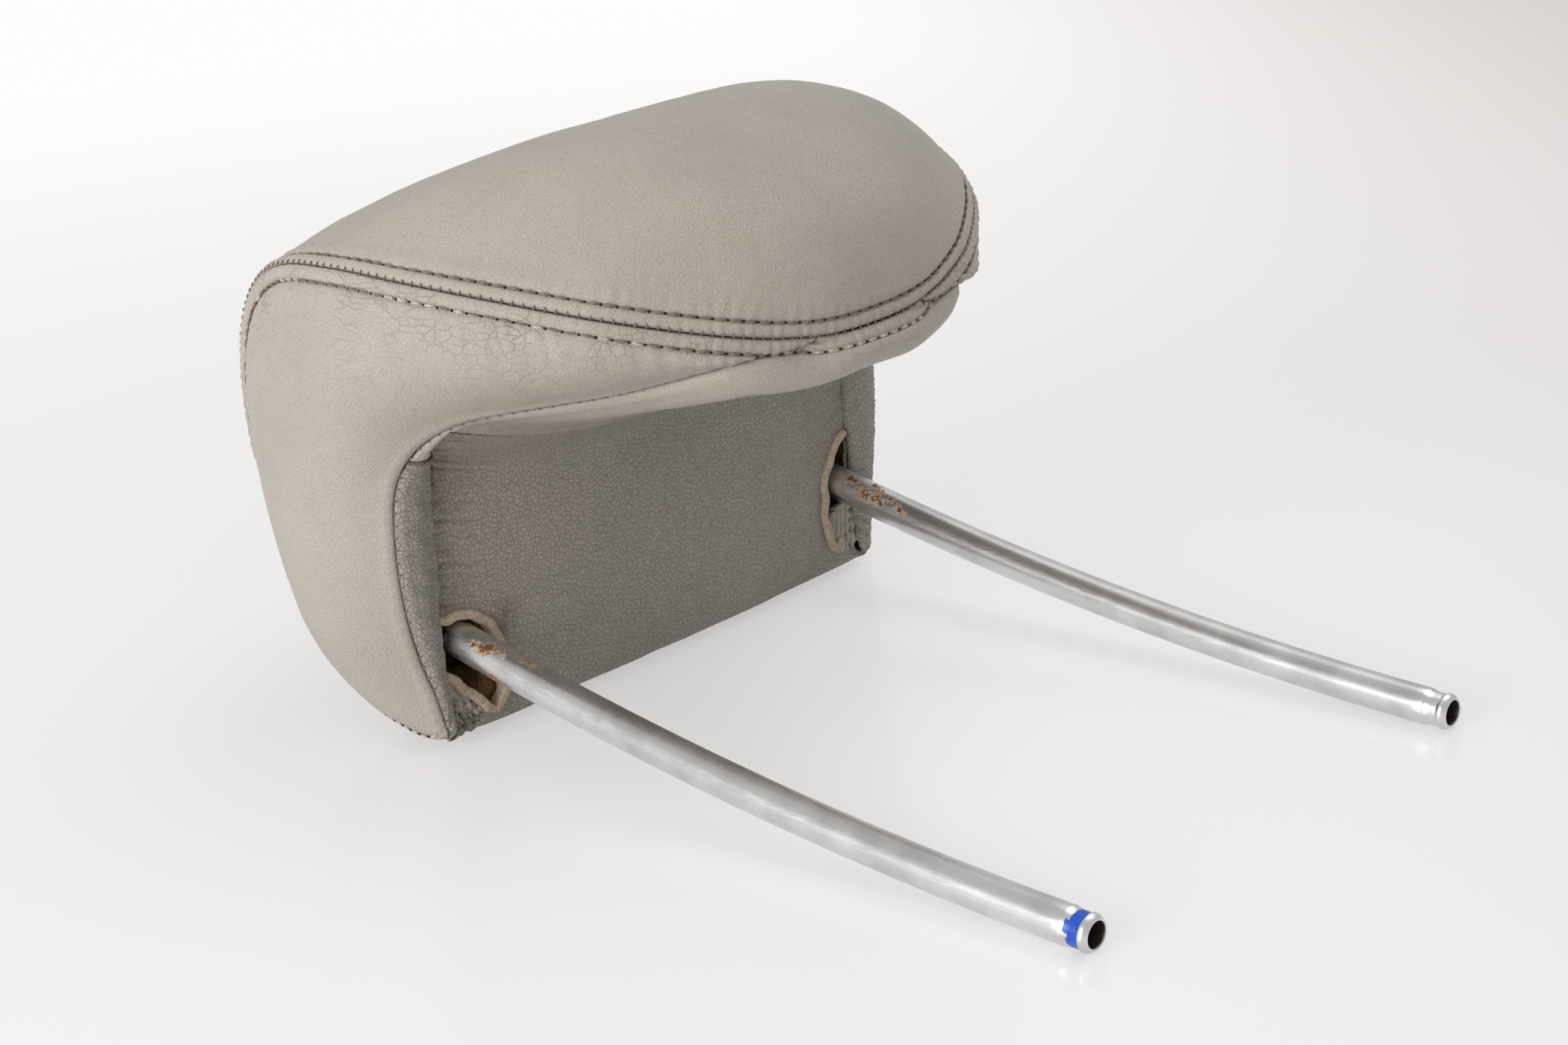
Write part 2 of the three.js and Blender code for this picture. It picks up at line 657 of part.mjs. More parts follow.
function coreRearShell() {
  const split = barZ - assemblyGap / 2;
  const inside = coreBlock(coreWall, coreLow.z + coreWall, split + cutPast);
  const tray = coreBlock(0, coreLow.z, split).subtract(inside);
  const floorZ = coreLow.z + weldDepth;
  const saddleHalf = bushRadius + capEar;
  const saddles = [-1, 1].map((side) => block(
    side * bushOffset - bushLength / 2, side * bushOffset + bushLength / 2,
    Math.max(barY - saddleHalf, coreLow.y + weldDepth), Math.min(barY + saddleHalf, coreHigh.y - weldDepth),
    floorZ, split,
  ));
  const spineHalf = bushOffset - bushLength / 2 + weldDepth;
  const spine = block(-spineHalf, spineHalf, barY - ribThickness / 2, barY + ribThickness / 2,
    floorZ, barZ - postRadius - spineBelowBar);
  const bosses = bossPlaces.map(([x, y]) => rodZ(x, y, floorZ, split, coreBossDiameter / 2, bossSides));
  const tools = [
    barHole(),
    rodX(-coreHalf + coreWall, coreHalf - coreWall, barY, barZ, saddleRadius, bushSides),
    ...bossPlaces.map(([x, y]) => (
      screwHole(x, y, coreLow.z - cutPast, split + cutPast, coreScrewDiameter)
    )),
    ...bossPlaces.map(([x, y]) => screwHole(x, y, coreLow.z - cutPast,
      coreLow.z + screwHeadHeight + assemblyGap, coreScrewDiameter * screwHeadRatio)),
    ...capScrewPlaces().map(([x, y]) => (
      screwHole(x, y, split - capScrewLength, split + cutPast, capScrewDiameter)
    )),
  ];
  return toGeometry(cut(join([tray, ...saddles, spine, ...bosses]), tools));
}

function coreFrontShell() {
  const split = barZ + assemblyGap / 2;
  const screwEnd = coreLow.z + screwHeadHeight + coreScrewLength;
  const inside = coreBlock(coreWall, split - cutPast, coreHigh.z - coreWall);
  const hood = coreBlock(0, split, coreHigh.z).subtract(inside);
  const roofZ = coreHigh.z - weldDepth;
  const bosses = bossPlaces.map(([x, y]) => rodZ(x, y, split, roofZ, coreBossDiameter / 2, bossSides));
  const ribs = [];
  for (let k = 0; k < ribCount; k += 1) {
    const x = (k - (ribCount - 1) / 2) * ribSpacing;
    ribs.push(block(x - ribThickness / 2, x + ribThickness / 2,
      coreLow.y + weldDepth, coreHigh.y - weldDepth, barZ + bushRadius + ribAboveBush, roofZ));
  }
  const tools = [
    barHole(),
    ...bossPlaces.map(([x, y]) => screwHole(x, y, split - cutPast, screwEnd + weldDepth, coreScrewDiameter)),
  ];
  return toGeometry(cut(join([hood, ...bosses, ...ribs]), tools));
}

function tiltBush(side) {
  const centre = side * bushOffset;
  const ring = rodX(centre - bushLength / 2, centre + bushLength / 2, barY, barZ, bushRadius, bushSides);
  const split = block(centre - bushLength, centre + bushLength,
    barY - bushSplit / 2, barY + bushSplit / 2, barZ, barZ + 2 * bushRadius);
  const bore = rodX(centre - bushLength, centre + bushLength, barY, barZ, postRadius + assemblyGap, bushSides);
  return toGeometry(cut(ring, [bore, split]));
}

// Caps over the bushes, each held by two screws into its saddle
function capScrewPlaces() {
  const offset = saddleRadius + capWall + (capScrewDiameter * screwHeadRatio) / 2 + assemblyGap;
  return [-1, 1].flatMap((side) => [-1, 1].map((end) => [side * bushOffset, barY + end * offset]));
}

function clampCap(side) {
  const centre = side * bushOffset;
  const [x0, x1] = [centre - bushLength / 2, centre + bushLength / 2];
  const arch = rodX(x0, x1, barY, barZ, saddleRadius + capWall, bushSides);
  const ears = block(x0, x1, barY - saddleRadius - capEar, barY + saddleRadius + capEar,
    barZ + assemblyGap / 2, barZ + capEarThickness);
  const reach = saddleRadius + capEar + cutPast;
  const [low, high] = [x0 - cutPast, x1 + cutPast];
  const below = block(low, high, barY - reach, barY + reach, barZ - reach, barZ + assemblyGap / 2);
  const room = rodX(low, high, barY, barZ, saddleRadius, bushSides);
  const holes = capScrewPlaces().filter(([x]) => x * side > 0)
    .map(([x, y]) => screwHole(x, y, barZ - reach, barZ + reach, capScrewDiameter));
  return toGeometry(cut(arch.add(ears), [below, room, ...holes]));
}

function screw(x, y, seatZ, direction, diameter, length) {
  const head = (diameter * screwHeadRatio) / 2;
  const body = turned([
    [0, screwHeadHeight], [head * screwDome.top, screwHeadHeight], [head, screwHeadHeight * screwDome.rim],
    [head, 0],
    [diameter / 2, 0], [diameter / 2, -length + diameter / 3], [diameter / 4, -length], [0, -length],
  ].reverse(), screwSides);
  if (direction < 0) body.rotateX(Math.PI);
  body.translate(x, y, seatZ);
  return body;
}

addPiece('post_frame', postFrame(), steel);
for (const [label, side] of [['left', -1], ['right', 1]]) {
  addPiece(`tilt_bush_${label}`, tiltBush(side), bushPlastic);
  addPiece(`clamp_cap_${label}`, clampCap(side), blackPlastic);
}
addPiece('core_rear_shell', coreRearShell(), blackPlastic);
addPiece('core_front_shell', coreFrontShell(), blackPlastic);
capScrewPlaces().forEach(([x, y], index) => {
  const seat = barZ + capEarThickness + assemblyGap;
  addPiece(`clamp_screw_${index + 1}`, screw(x, y, seat, 1, capScrewDiameter, capScrewLength), zincSteel);
});
bossPlaces.forEach(([x, y], index) => {
  const seat = coreLow.z + screwHeadHeight;
  addPiece(`core_screw_${index + 1}`, screw(x, y, seat, -1, coreScrewDiameter, coreScrewLength), zincSteel);
});
addPiece('foam_pad', foamPad(), foam);
const slots = [-1, 1].map((side) => slotTool(side, facingEnd));
addPiece('front_panel', sewPanel('front_panel', []), leather);
addPiece('chin_gusset', sewPanel('chin_gusset', ['front_panel']), leather);
addPiece('rear_panel', sewPanel('rear_panel', ['chin_gusset'], slots), recessLeather);
for (const [label, side] of [['left', -1], ['right', 1]]) {
  const strips = ['front_panel', 'chin_gusset', 'rear_panel'];
  const [sidePanel, gusset] = [`side_panel_${label}`, `recess_gusset_${label}`];
  addPiece(sidePanel, sewPanel(sidePanel, strips), leather);
  addPiece(gusset, sewPanel(gusset, [...strips, sidePanel], slots), leather);
  addPiece(`slot_facing_${label}`, slotFacing(side), rawLeather);
}

// Everything above is measured from the post tips and is moved here to the origin
const extent = new THREE.Box3().setFromObject(headrest, true);
headrest.position.set(0, -(extent.min.y + extent.max.y) / 2, -extent.min.z);
headrest.updateMatrixWorld(true);

export default headrest;
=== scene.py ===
import math
import random

import bmesh
import bpy
import numpy as np
from mathutils import Matrix, Vector, noise
from mathutils.bvhtree import BVHTree
from mathutils.kdtree import KDTree


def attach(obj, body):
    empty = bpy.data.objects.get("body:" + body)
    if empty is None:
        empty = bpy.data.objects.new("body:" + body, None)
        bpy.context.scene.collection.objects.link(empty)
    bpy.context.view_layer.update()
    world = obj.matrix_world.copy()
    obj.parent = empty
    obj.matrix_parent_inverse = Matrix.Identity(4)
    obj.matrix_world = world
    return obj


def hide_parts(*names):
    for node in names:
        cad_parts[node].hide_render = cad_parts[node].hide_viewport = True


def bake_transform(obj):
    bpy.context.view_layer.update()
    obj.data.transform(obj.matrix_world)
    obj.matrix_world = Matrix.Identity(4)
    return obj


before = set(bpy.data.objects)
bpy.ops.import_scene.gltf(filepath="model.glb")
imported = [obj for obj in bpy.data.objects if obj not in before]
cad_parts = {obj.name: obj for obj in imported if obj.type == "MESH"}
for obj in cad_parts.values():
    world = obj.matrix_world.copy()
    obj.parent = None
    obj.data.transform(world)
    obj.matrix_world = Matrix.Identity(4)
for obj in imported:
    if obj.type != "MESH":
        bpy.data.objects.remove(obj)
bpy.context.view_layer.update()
print("frame loaded:", len(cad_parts), "nodes")

mm = 0.001
tipDatum = np.array([0, -179.815, 0.156])  # shapes are drawn in mm from the post tips, then moved here

# The pad's sections, as in the CAD model: from the chin over the top and back to the bottom edge
padSections = [
    [[151, 135], [24, 153, 136], [24, 153, 136], [24, 153, 136], [151, 135]],
    [[150.5, 152.5], [41, 157, 139], [35, 162, 132.5], [35, 162, 132.5], [147, 127.5]],
    [[160.5, 171], [62, 165, 144.5], [50, 176, 128.5], [50, 176, 128.5], [157, 119]],
    [[183, 186], [87, 183.5, 152.5], [70, 194, 123.5], [70, 194, 123.5], [180, 113]],
    [[215, 194.5], [104, 208.5, 159], [88, 214.5, 120], [88, 214.5, 120], [206.5, 106]],
    [[249, 193], [114, 238.5, 163], [101, 232.5, 116], [101, 232.5, 116], [230.5, 98.5]],
    [[281, 182.5], [117, 269.5, 164.5], [108.5, 244.5, 109], [104.5, 245.5, 107], [243.5, 92.5]],
    [[310, 170], [114.5, 297.5, 161.5], [112.5, 252.5, 99], [98.5, 255.5, 98], [248.5, 84]],
    [[334, 155], [110, 318.5, 151.5], [114, 255.5, 90], [97.6, 257.8, 87], [249, 73]],
    [[351, 136.5], [107, 332, 135.5], [114.5, 256.5, 81], [97.6, 258.5, 76], [249, 63]],
    [[359, 114], [105, 338.5, 114], [114.6, 257, 72], [97.6, 258.5, 66], [249, 54]],
    [[358.5, 88], [104, 338, 89.5], [114.4, 257, 62], [97.6, 258.5, 56], [249, 46]],
    [[351, 60], [104, 330, 61], [113, 257, 49], [97.6, 258.5, 45], [249.3, 37]],
    [[335.5, 31], [104, 314, 31], [110, 256.5, 34], [97.6, 258.5, 33], [249.8, 28]],
    [[312, 9], [104.5, 293, 13], [106.5, 255, 21], [97.8, 258.5, 22], [250.5, 19]],
    [[287, 1], [104.5, 274, 6.5], [104.5, 254.5, 12], [98.5, 257.8, 13.5], [251.2, 12]],
    [[267, 0], [104, 262, 4.5], [103.5, 254.5, 7.5], [100, 256.8, 8], [252.6, 6.5]],
    [[256.5, 2.5], [103, 255.5, 4.5], [103, 255.5, 4.5], [103, 255.5, 4.5], [256.5, 2.5]],
]
frontMiddle, frontSeam, lowerSeam, recessEdge, underMiddle = range(5)

padShape = {
    "rowsPerSection": 24,
    "stripWidth": 115,
    "sideWidth": 110,
    "gussetWidth": 16,
    "gussetStart": 5,
    "transverseSeam": 6.6,
    "recessTop": 5.4,
    "backSeam": 11,
    "lastSection": 17,
    "gussetSwell": 3.5,
    "gussetAside": 1.5,
    "behindStrips": 2.6,
    "swellReach": 70,
    "leather": 1.3,
    "frontCrown": ([0, 2, 3, 7, 10, 17], [2.4, 3, 4, 4, 2.6, 2.4]),
    "underCrown": ([0, 17], [2.4, 2.4]),
    "swellFront": ([0, 4, 6, 7.5, 9, 11, 13, 17], [0.9, 0.9, 0.7, 0.35, 0.45, 0.85, 1, 0.8]),
    "swellBack": ([0, 5, 7, 17], [1.3, 1.4, 1.5, 1.5]),
    "swellTurn": ([0, 1, 2, 3, 4, 5, 7, 17], [75, 65, 55, 42, 25, 8, 0, 0]),
}

postShape = {
    "radius": 6,
    "apart": 183.7,
    "legLength": 281,
    "tipSlope": 0.0196,
    "curveRadius": 1363,
    "cornerRadius": 24,
    "sides": 56,
    "step": 2.5,
    # distance from the end face and radius, from deep in the bore round the nose to the full tube
    "tip": [
        (34, 3.95), (20, 3.95), (8, 3.95), (0.5, 3.95), (0, 4.25), (0.05, 4.5), (0.5, 4.95), (1.2, 5.5),
        (1.9, 5.82), (2.5, 5.85), (2.8, 5.7), (3.1, 5.4), (3.6, 5.42), (5.5, 5.45), (7.7, 5.48),
        (8.1, 5.7), (8.7, 5.92), (9.3, 6),
    ],
}
postX = postShape["apart"] / 2


def legHeight(y):
    return postShape["radius"] + postShape["tipSlope"] * y + y * y / (2 * postShape["curveRadius"])


def toFrame(points):
    return (np.asarray(points, float) + tipDatum) * mm


def smooth(value, low, high):
    s = np.clip((np.asarray(value, float) - low) / (high - low), 0, 1)
    return s * s * (3 - 2 * s)


# Camera, at the photograph's viewing angle
cameraView = {
    "place": (-0.680243, -0.641943, 0.395757),
    "right": (0.67744737, -0.73266718, -0.06529825),
    "up": (0.28785818, 0.18237308, 0.94014772),
    "lens": 69.97,
}


def makeCamera():
    camera = bpy.data.objects.new("camera", bpy.data.cameras.new("camera"))
    right, up = Vector(cameraView["right"]), Vector(cameraView["up"])
    turn = Matrix((right, up, right.cross(up))).transposed()
    camera.matrix_world = Matrix.Translation(cameraView["place"]) @ turn.to_4x4()
    camera.data.lens = cameraView["lens"]
    camera.data.sensor_width = 36
    camera.data.clip_start = 0.01
    bpy.context.scene.collection.objects.link(camera)
    bpy.context.scene.camera = camera


makeCamera()
print("camera placed")


# Materials
def newMaterial(name, **settings):
    material = bpy.data.materials.new(name)
    material.use_nodes = True
    surface = material.node_tree.nodes["Principled BSDF"]
    for socket, value in settings.items():
        surface.inputs[socket.replace("_", " ")].default_value = value
    return material, material.node_tree, surface


def addNode(tree, kind, **settings):
    node = tree.nodes.new(kind)
    for key, value in settings.items():
        if key in node.inputs:
            node.inputs[key].default_value = value
        else:
            setattr(node, key, value)
    return node


def remap(tree, source, low, high, toLow, toHigh):
    node = addNode(tree, "ShaderNodeMapRange", interpolation_type="SMOOTHSTEP")
    for place, value in enumerate((low, high, toLow, toHigh), start=1):
        node.inputs[place].default_value = value
    tree.links.new(source, node.inputs[0])
    return node.outputs[0]


def combine(tree, operation, one, other):
    node = addNode(tree, "ShaderNodeMath", operation=operation)
    for place, value in enumerate((one, other)):
        if isinstance(value, (int, float)):
            node.inputs[place].default_value = value
        else:
            tree.links.new(value, node.inputs[place])
    return node.outputs[0]


def tint(tree, factor, under, over):
    node = addNode(tree, "ShaderNodeMix", data_type="RGBA")
    for place, value in ((0, factor), (6, under), (7, over)):
        if isinstance(value, (int, float, tuple)):
            node.inputs[place].default_value = value
        else:
            tree.links.new(value, node.inputs[place])
    return node.outputs[2]


def noiseAt(tree, place, size, detail=3.0, rough=0.5):
    node = addNode(tree, "ShaderNodeTexNoise", Scale=1 / (size * mm), Detail=detail, Roughness=rough)
    tree.links.new(place, node.inputs["Vector"])
    return node.outputs["Fac"]


def objectPlace(tree):
    return addNode(tree, "ShaderNodeTexCoord").outputs["Object"]


def readMark(tree, name):
    return addNode(tree, "ShaderNodeAttribute", attribute_name=name).outputs["Fac"]


def bumpSurface(tree, surface, height, strength, depth, under=None):
    bump = addNode(tree, "ShaderNodeBump", Strength=strength, Distance=depth * mm)
    tree.links.new(height, bump.inputs["Height"])
    if under:
        tree.links.new(under, bump.inputs["Normal"])
    tree.links.new(bump.outputs["Normal"], surface.inputs["Normal"])
    return bump.outputs["Normal"]


def bentPlace(tree, place, scale, detail, reach):
    bend = addNode(tree, "ShaderNodeTexNoise", Scale=scale, Detail=detail)
    tree.links.new(place, bend.inputs["Vector"])
    bent = addNode(tree, "ShaderNodeVectorMath", operation="MULTIPLY_ADD")
    tree.links.new(bend.outputs["Color"], bent.inputs[0])
    bent.inputs[1].default_value = (reach * mm,) * 3
    tree.links.new(place, bent.inputs[2])
    return bent.outputs[0]


def cellEdges(tree, place, size):
    cells = addNode(tree, "ShaderNodeTexVoronoi", feature="DISTANCE_TO_EDGE", Scale=1 / (size * mm))
    tree.links.new(place, cells.inputs["Vector"])
    return cells.outputs["Distance"]


# Fine wrinkles in patches, stretched one way, where the leather is marked as worn
def leatherWrinkles(tree, place, look):
    slanted = addNode(tree, "ShaderNodeMapping")
    slanted.inputs["Rotation"].default_value = (math.radians(look["slant"]), 0, 0)
    slanted.inputs["Scale"].default_value = (1, look["stretch"], 1)
    tree.links.new(bentPlace(tree, place, look["bendScale"], 3, look["bend"]), slanted.inputs["Vector"])
    folds = cellEdges(tree, slanted.outputs["Vector"], look["size"])
    patchy = remap(tree, noiseAt(tree, place, look["patch"]), 0.42, 0.62, 0, 1)
    creased = combine(tree, "MULTIPLY", remap(tree, folds, 0, look["width"], 1, 0), patchy)
    return combine(tree, "MULTIPLY", creased, readMark(tree, "worn"))


def leatherMaterial(name, look):
    material, tree, surface = newMaterial(name, Specular_IOR_Level=look["gloss"])
    place = objectPlace(tree)
    wandering = bentPlace(tree, place, look["wanderScale"], 2, look["wander"])
    grain = None
    for size, share in look["pebbles"]:
        edges = cellEdges(tree, wandering, size)
        layer = combine(tree, "MULTIPLY", remap(tree, edges, 0, look["pebbleEdge"], 0, 1), share)
        grain = layer if grain is None else combine(tree, "ADD", grain, layer)
    pores = noiseAt(tree, place, look["poreSize"])
    relief = combine(tree, "ADD", grain, combine(tree, "MULTIPLY", pores, look["pores"]))
    creased = leatherWrinkles(tree, place, look["wrinkles"])
    relief = combine(tree, "SUBTRACT", relief, combine(tree, "MULTIPLY", creased, look["wrinkles"]["depth"]))
    patches = noiseAt(tree, place, look["patchSize"], 4, 0.6)
    colour = tint(tree, remap(tree, patches, 0.35, 0.68, 0, 1), look["darker"], look["lighter"])
    colour = tint(tree, remap(tree, grain, 0.1, 0.7, look["creaseShade"], 0), colour, look["crease"])
    specks = remap(tree, noiseAt(tree, place, look["speckSize"], 4, 0.8), 0.735, 0.76, 0, 0.5)
    colour = tint(tree, specks, colour, look["grimeAndShade"])
    wrinkleShade = combine(tree, "MULTIPLY", creased, look["wrinkles"]["shade"])
    colour = tint(tree, wrinkleShade, colour, look["crease"])
    # This mark darkens the leather unevenly: a smudge and darker streaks along the recess's edges, and
    # painted shade under the chin's lip and in the flaps' fold valleys
    unevenness = remap(tree, noiseAt(tree, place, look["unevenSize"], 6, 0.7), 0.3, 0.65, 0.2, 1)
    soiledAndShaded = combine(tree, "MULTIPLY", readMark(tree, "grimeAndShade"), unevenness)
    colour = tint(tree, soiledAndShaded, colour, look["grimeAndShade"])
    colour = tint(tree, remap(tree, readMark(tree, "seamAway"), *look["seamShade"]), colour, look["seam"])
    tree.links.new(colour, surface.inputs["Base Color"])
    tree.links.new(remap(tree, grain, 0, 1, look["roughLow"], look["roughHigh"]), surface.inputs["Roughness"])
    bumpSurface(tree, surface, relief, look["bump"], look["depth"])
    return material


coverLook = {
    # size of the pebbles and share of the relief, the width of the lines between them, and how they wander
    "pebbles": [(1.3, 0.6), (0.7, 0.4)],
    "pebbleEdge": 0.16,
    "wander": 1.0,
    "wanderScale": 260,
    "pores": 0.3,
    "poreSize": 0.35,
    "wrinkles": {
        "size": 3.2, "width": 0.07, "bend": 5, "bendScale": 90, "slant": 48, "stretch": 0.28,
        "patch": 14, "depth": 1.4, "shade": 0.35,
    },
    "depth": 0.15,
    "bump": 0.8,
    "gloss": 0.4,
    "patchSize": 60,
    "speckSize": 9,
    "unevenSize": 5,
    "lighter": (0.452, 0.415, 0.366, 1),
    "darker": (0.412, 0.377, 0.33, 1),
    "crease": (0.29, 0.26, 0.22, 1),
    "creaseShade": 0.5,
    "grimeAndShade": (0.13, 0.085, 0.055, 1),
    "seam": (0.13, 0.1, 0.08, 1),
    "seamShade": (0.05, 0.55, 0.7, 0),
    "roughLow": 0.6,
    "roughHigh": 0.42,
}
recessLook = dict(
    coverLook,
    pebbles=[(1.7, 0.65), (0.9, 0.35)],
    depth=0.42,
    bump=1.0,
    lighter=(0.415, 0.372, 0.332, 1),
    darker=(0.37, 0.332, 0.295, 1),
    crease=(0.2, 0.175, 0.15, 1),
    creaseShade=0.6,
)
coverLeather = leatherMaterial("cover leather", coverLook)
recessLeather = leatherMaterial("recess leather", recessLook)

steelLook = {
    "bright": (0.74, 0.74, 0.745, 1),
    "dull": (0.6, 0.6, 0.605, 1),
    "rust": (0.12, 0.045, 0.022, 1),
    "ochre": (0.42, 0.23, 0.07, 1),
    "bore": (0.03, 0.022, 0.018, 1),
    "paint": (0.01, 0.07, 0.45, 1),
    "lineSize": 0.4,
    "hazeSize": 16,
    "fleckSize": 1.6,
    "satin": (0.27, 0.35),
}


def steelMaterial(look):
    material, tree, surface = newMaterial("satin steel")
    place = objectPlace(tree)
    drawn = addNode(tree, "ShaderNodeMapping")
    drawn.inputs["Scale"].default_value = (1, 0.03, 1)
    tree.links.new(place, drawn.inputs["Vector"])
    lines = noiseAt(tree, drawn.outputs["Vector"], look["lineSize"])
    haze = noiseAt(tree, place, look["hazeSize"], 5)
    colour = tint(tree, remap(tree, haze, 0.35, 0.7, 0, 1), look["bright"], look["dull"])
    flecks = remap(tree, noiseAt(tree, place, look["fleckSize"], 6, 0.7), 0.25, 0.75, -0.5, 0.5)
    rusty = combine(tree, "ADD", readMark(tree, "rust"), flecks)
    stained = remap(tree, rusty, 0.44, 0.56, 0, 1)
    colour = tint(tree, stained, colour, look["ochre"])
    colour = tint(tree, remap(tree, rusty, 0.58, 0.78, 0, 1), colour, look["rust"])
    raggedPaint = combine(tree, "ADD", readMark(tree, "paint"), combine(tree, "MULTIPLY", flecks, 0.5))
    painted = remap(tree, raggedPaint, 0.4, 0.55, 0, 1)
    colour = tint(tree, painted, colour, look["paint"])
    bore = readMark(tree, "bore")
    colour = tint(tree, bore, colour, look["bore"])
    tree.links.new(colour, surface.inputs["Base Color"])
    covered = combine(tree, "MAXIMUM", stained, combine(tree, "MAXIMUM", painted, bore))
    tree.links.new(combine(tree, "SUBTRACT", 1, covered), surface.inputs["Metallic"])
    satin = remap(tree, lines, 0.3, 0.7, *look["satin"])
    rough = combine(tree, "ADD", satin, combine(tree, "MULTIPLY", stained, 0.5))
    tree.links.new(rough, surface.inputs["Roughness"])
    brushed = bumpSurface(tree, surface, lines, 0.3, 0.01)
    bumpSurface(tree, surface, stained, 0.5, 0.12, brushed)
    return material


satinSteel = steelMaterial(steelLook)


def grainyMaterial(name, light, dark, size, rough, depth, metallic=0.0):
    material, tree, surface = newMaterial(name, Roughness=rough, Metallic=metallic)
    place = objectPlace(tree)
    speck = noiseAt(tree, place, size, 5, 0.6)
    colour = tint(tree, remap(tree, speck, 0.35, 0.65, 0, 1), (*dark, 1), (*light, 1))
    tree.links.new(colour, surface.inputs["Base Color"])
    bumpSurface(tree, surface, speck, 0.7, depth)
    return material


grainyLooks = {
    "raw leather edge": {
        "light": (0.50, 0.41, 0.31), "dark": (0.34, 0.27, 0.19), "size": 0.9, "rough": 0.9, "depth": 0.25,
    },
    # The foam's colours are its yellowing, made darker still as painted shade of the cavities under the tubes
    "yellowed foam with painted shade": {
        "light": (0.2, 0.115, 0.035), "dark": (0.08, 0.045, 0.016), "size": 1.6, "rough": 0.95, "depth": 0.5,
    },
    "black moulded plastic": {
        "light": (0.028, 0.028, 0.03), "dark": (0.018, 0.018, 0.02), "size": 0.5, "rough": 0.5, "depth": 0.04,
    },
    "natural nylon": {
        "light": (0.7, 0.66, 0.56), "dark": (0.62, 0.58, 0.48), "size": 1.5, "rough": 0.4, "depth": 0.02,
    },
    "zinc plate": {
        "light": (0.5, 0.5, 0.49), "dark": (0.4, 0.4, 0.38), "size": 0.8, "rough": 0.35, "depth": 0.02,
        "metallic": 1.0,
    },
    "taupe thread": {
        "light": (0.27, 0.205, 0.16), "dark": (0.14, 0.105, 0.082), "size": 0.5, "rough": 0.75, "depth": 0.08,
    },
    "pale thread": {
        "light": (0.6, 0.53, 0.46), "dark": (0.36, 0.29, 0.235), "size": 1.2, "rough": 0.75, "depth": 0.08,
    },
    # Needle holes are dark discs: painted shade standing for the holes
    "needle hole": {
        "light": (0.04, 0.028, 0.021), "dark": (0.022, 0.016, 0.012), "size": 0.5, "rough": 0.95,
        "depth": 0.05,
    },
}
grainy = {name: grainyMaterial(name, **look) for name, look in grainyLooks.items()}
print("materials made")


# Pieces laid out on a grid, with marks that the materials read
def meshObject(name, bm, material):
    mesh = bpy.data.meshes.new(name)
    bm.to_mesh(mesh)
    bm.free()
    piece = bpy.data.objects.new(name, mesh)
    bpy.context.scene.collection.objects.link(piece)
    mesh.materials.append(material)
    return piece


def gridPiece(name, points, material, marks=None, flip=False, drop=None):
    rows, columns = points.shape[:2]
    placed = toFrame(points).reshape(-1, 3)
    bm = bmesh.new()
    bmesh.ops.create_grid(bm, x_segments=columns - 1, y_segments=rows - 1, size=1)
    layers = [(bm.verts.layers.float.new(key), np.ravel(value)) for key, value in (marks or {}).items()]
    bm.verts.ensure_lookup_table()
    for number, vert in enumerate(bm.verts):
        vert.co = placed[number]
        for layer, values in layers:
            vert[layer] = values[number]
    if flip:
        bmesh.ops.reverse_faces(bm, faces=bm.faces)
    if drop:
        dropped = [face for face in bm.faces if drop(face.calc_center_median())]
        bmesh.ops.delete(bm, geom=dropped, context="FACES")
    bmesh.ops.remove_doubles(bm, verts=bm.verts, dist=0.02 * mm)
    for face in bm.faces:
        face.smooth = True
    return meshObject(name, bm, material)


def addWall(piece, thickness):
    wall = piece.modifiers.new("wall", "SOLIDIFY")
    wall.thickness = thickness * mm
    wall.offset = -1
    return piece


def settle(piece):
    bpy.context.view_layer.update()
    done = bpy.data.meshes.new_from_object(piece.evaluated_get(bpy.context.evaluated_depsgraph_get()))
    piece.modifiers.clear()
    piece.data = done
    return piece


# A smooth curve through points
def withEnds(points):
    return np.vstack([2 * points[0] - points[1], points, 2 * points[-1] - points[-2]])


def throughFour(a, b, c, d, w):
    return b + 0.5 * w * (c - a + w * (2 * a - 5 * b + 4 * c - d + w * (3 * (b - c) + d - a)))


# The pad's surface, from its sections
def seamLine(column, t):
    points = np.array([[0] * (3 - len(row[column])) + row[column] for row in padSections], float)
    ends = withEnds(points)
    k = np.clip(np.floor(t).astype(int), 0, len(points) - 2)
    return throughFour(*(ends[k + n] for n in range(4)), (t - k)[:, None])


def stripPoints(middle, crown, t, across):
    seam = seamLine(frontSeam, t)
    if middle == underMiddle:
        atChin = (t <= padShape["gussetStart"])[:, None]
        seam = np.where(atChin, seamLine(lowerSeam, t), seamLine(recessEdge, t))
    blend = np.abs(across)[None, :] ** np.interp(t, *padShape[crown])[:, None]
    centre = seamLine(middle, t)[:, None, :]
    points = centre + (seam[:, None, :] - centre) * blend[..., None]
    points[..., 0] = across[None, :] * seam[:, :1]
    return points


def sidePoints(t, v, side):
    start, end = seamLine(frontSeam, t), seamLine(lowerSeam, t)
    chord = end - start
    width = np.linalg.norm(chord, axis=1)
    turn = np.radians(np.interp(t, *padShape["swellTurn"]))
    outward = np.stack([np.cos(turn), -np.sin(turn), np.zeros_like(turn)], axis=1)
    reach = np.minimum(width + 4 * np.minimum(1, width / 8), padShape["swellReach"])
    leave = chord + outward * (0.9 * reach * np.interp(t, *padShape["swellFront"]))[:, None]
    arrive = chord - outward * (0.8 * reach * np.interp(t, *padShape["swellBack"]))[:, None]
    v = v[None, :, None]
    points = (
        start[:, None] * (2 * v**3 - 3 * v**2 + 1)
        + leave[:, None] * (v**3 - 2 * v**2 + v)
        + end[:, None] * (3 * v**2 - 2 * v**3)
        + arrive[:, None] * (v**3 - v**2)
    )
    points[..., 0] *= side
    return points


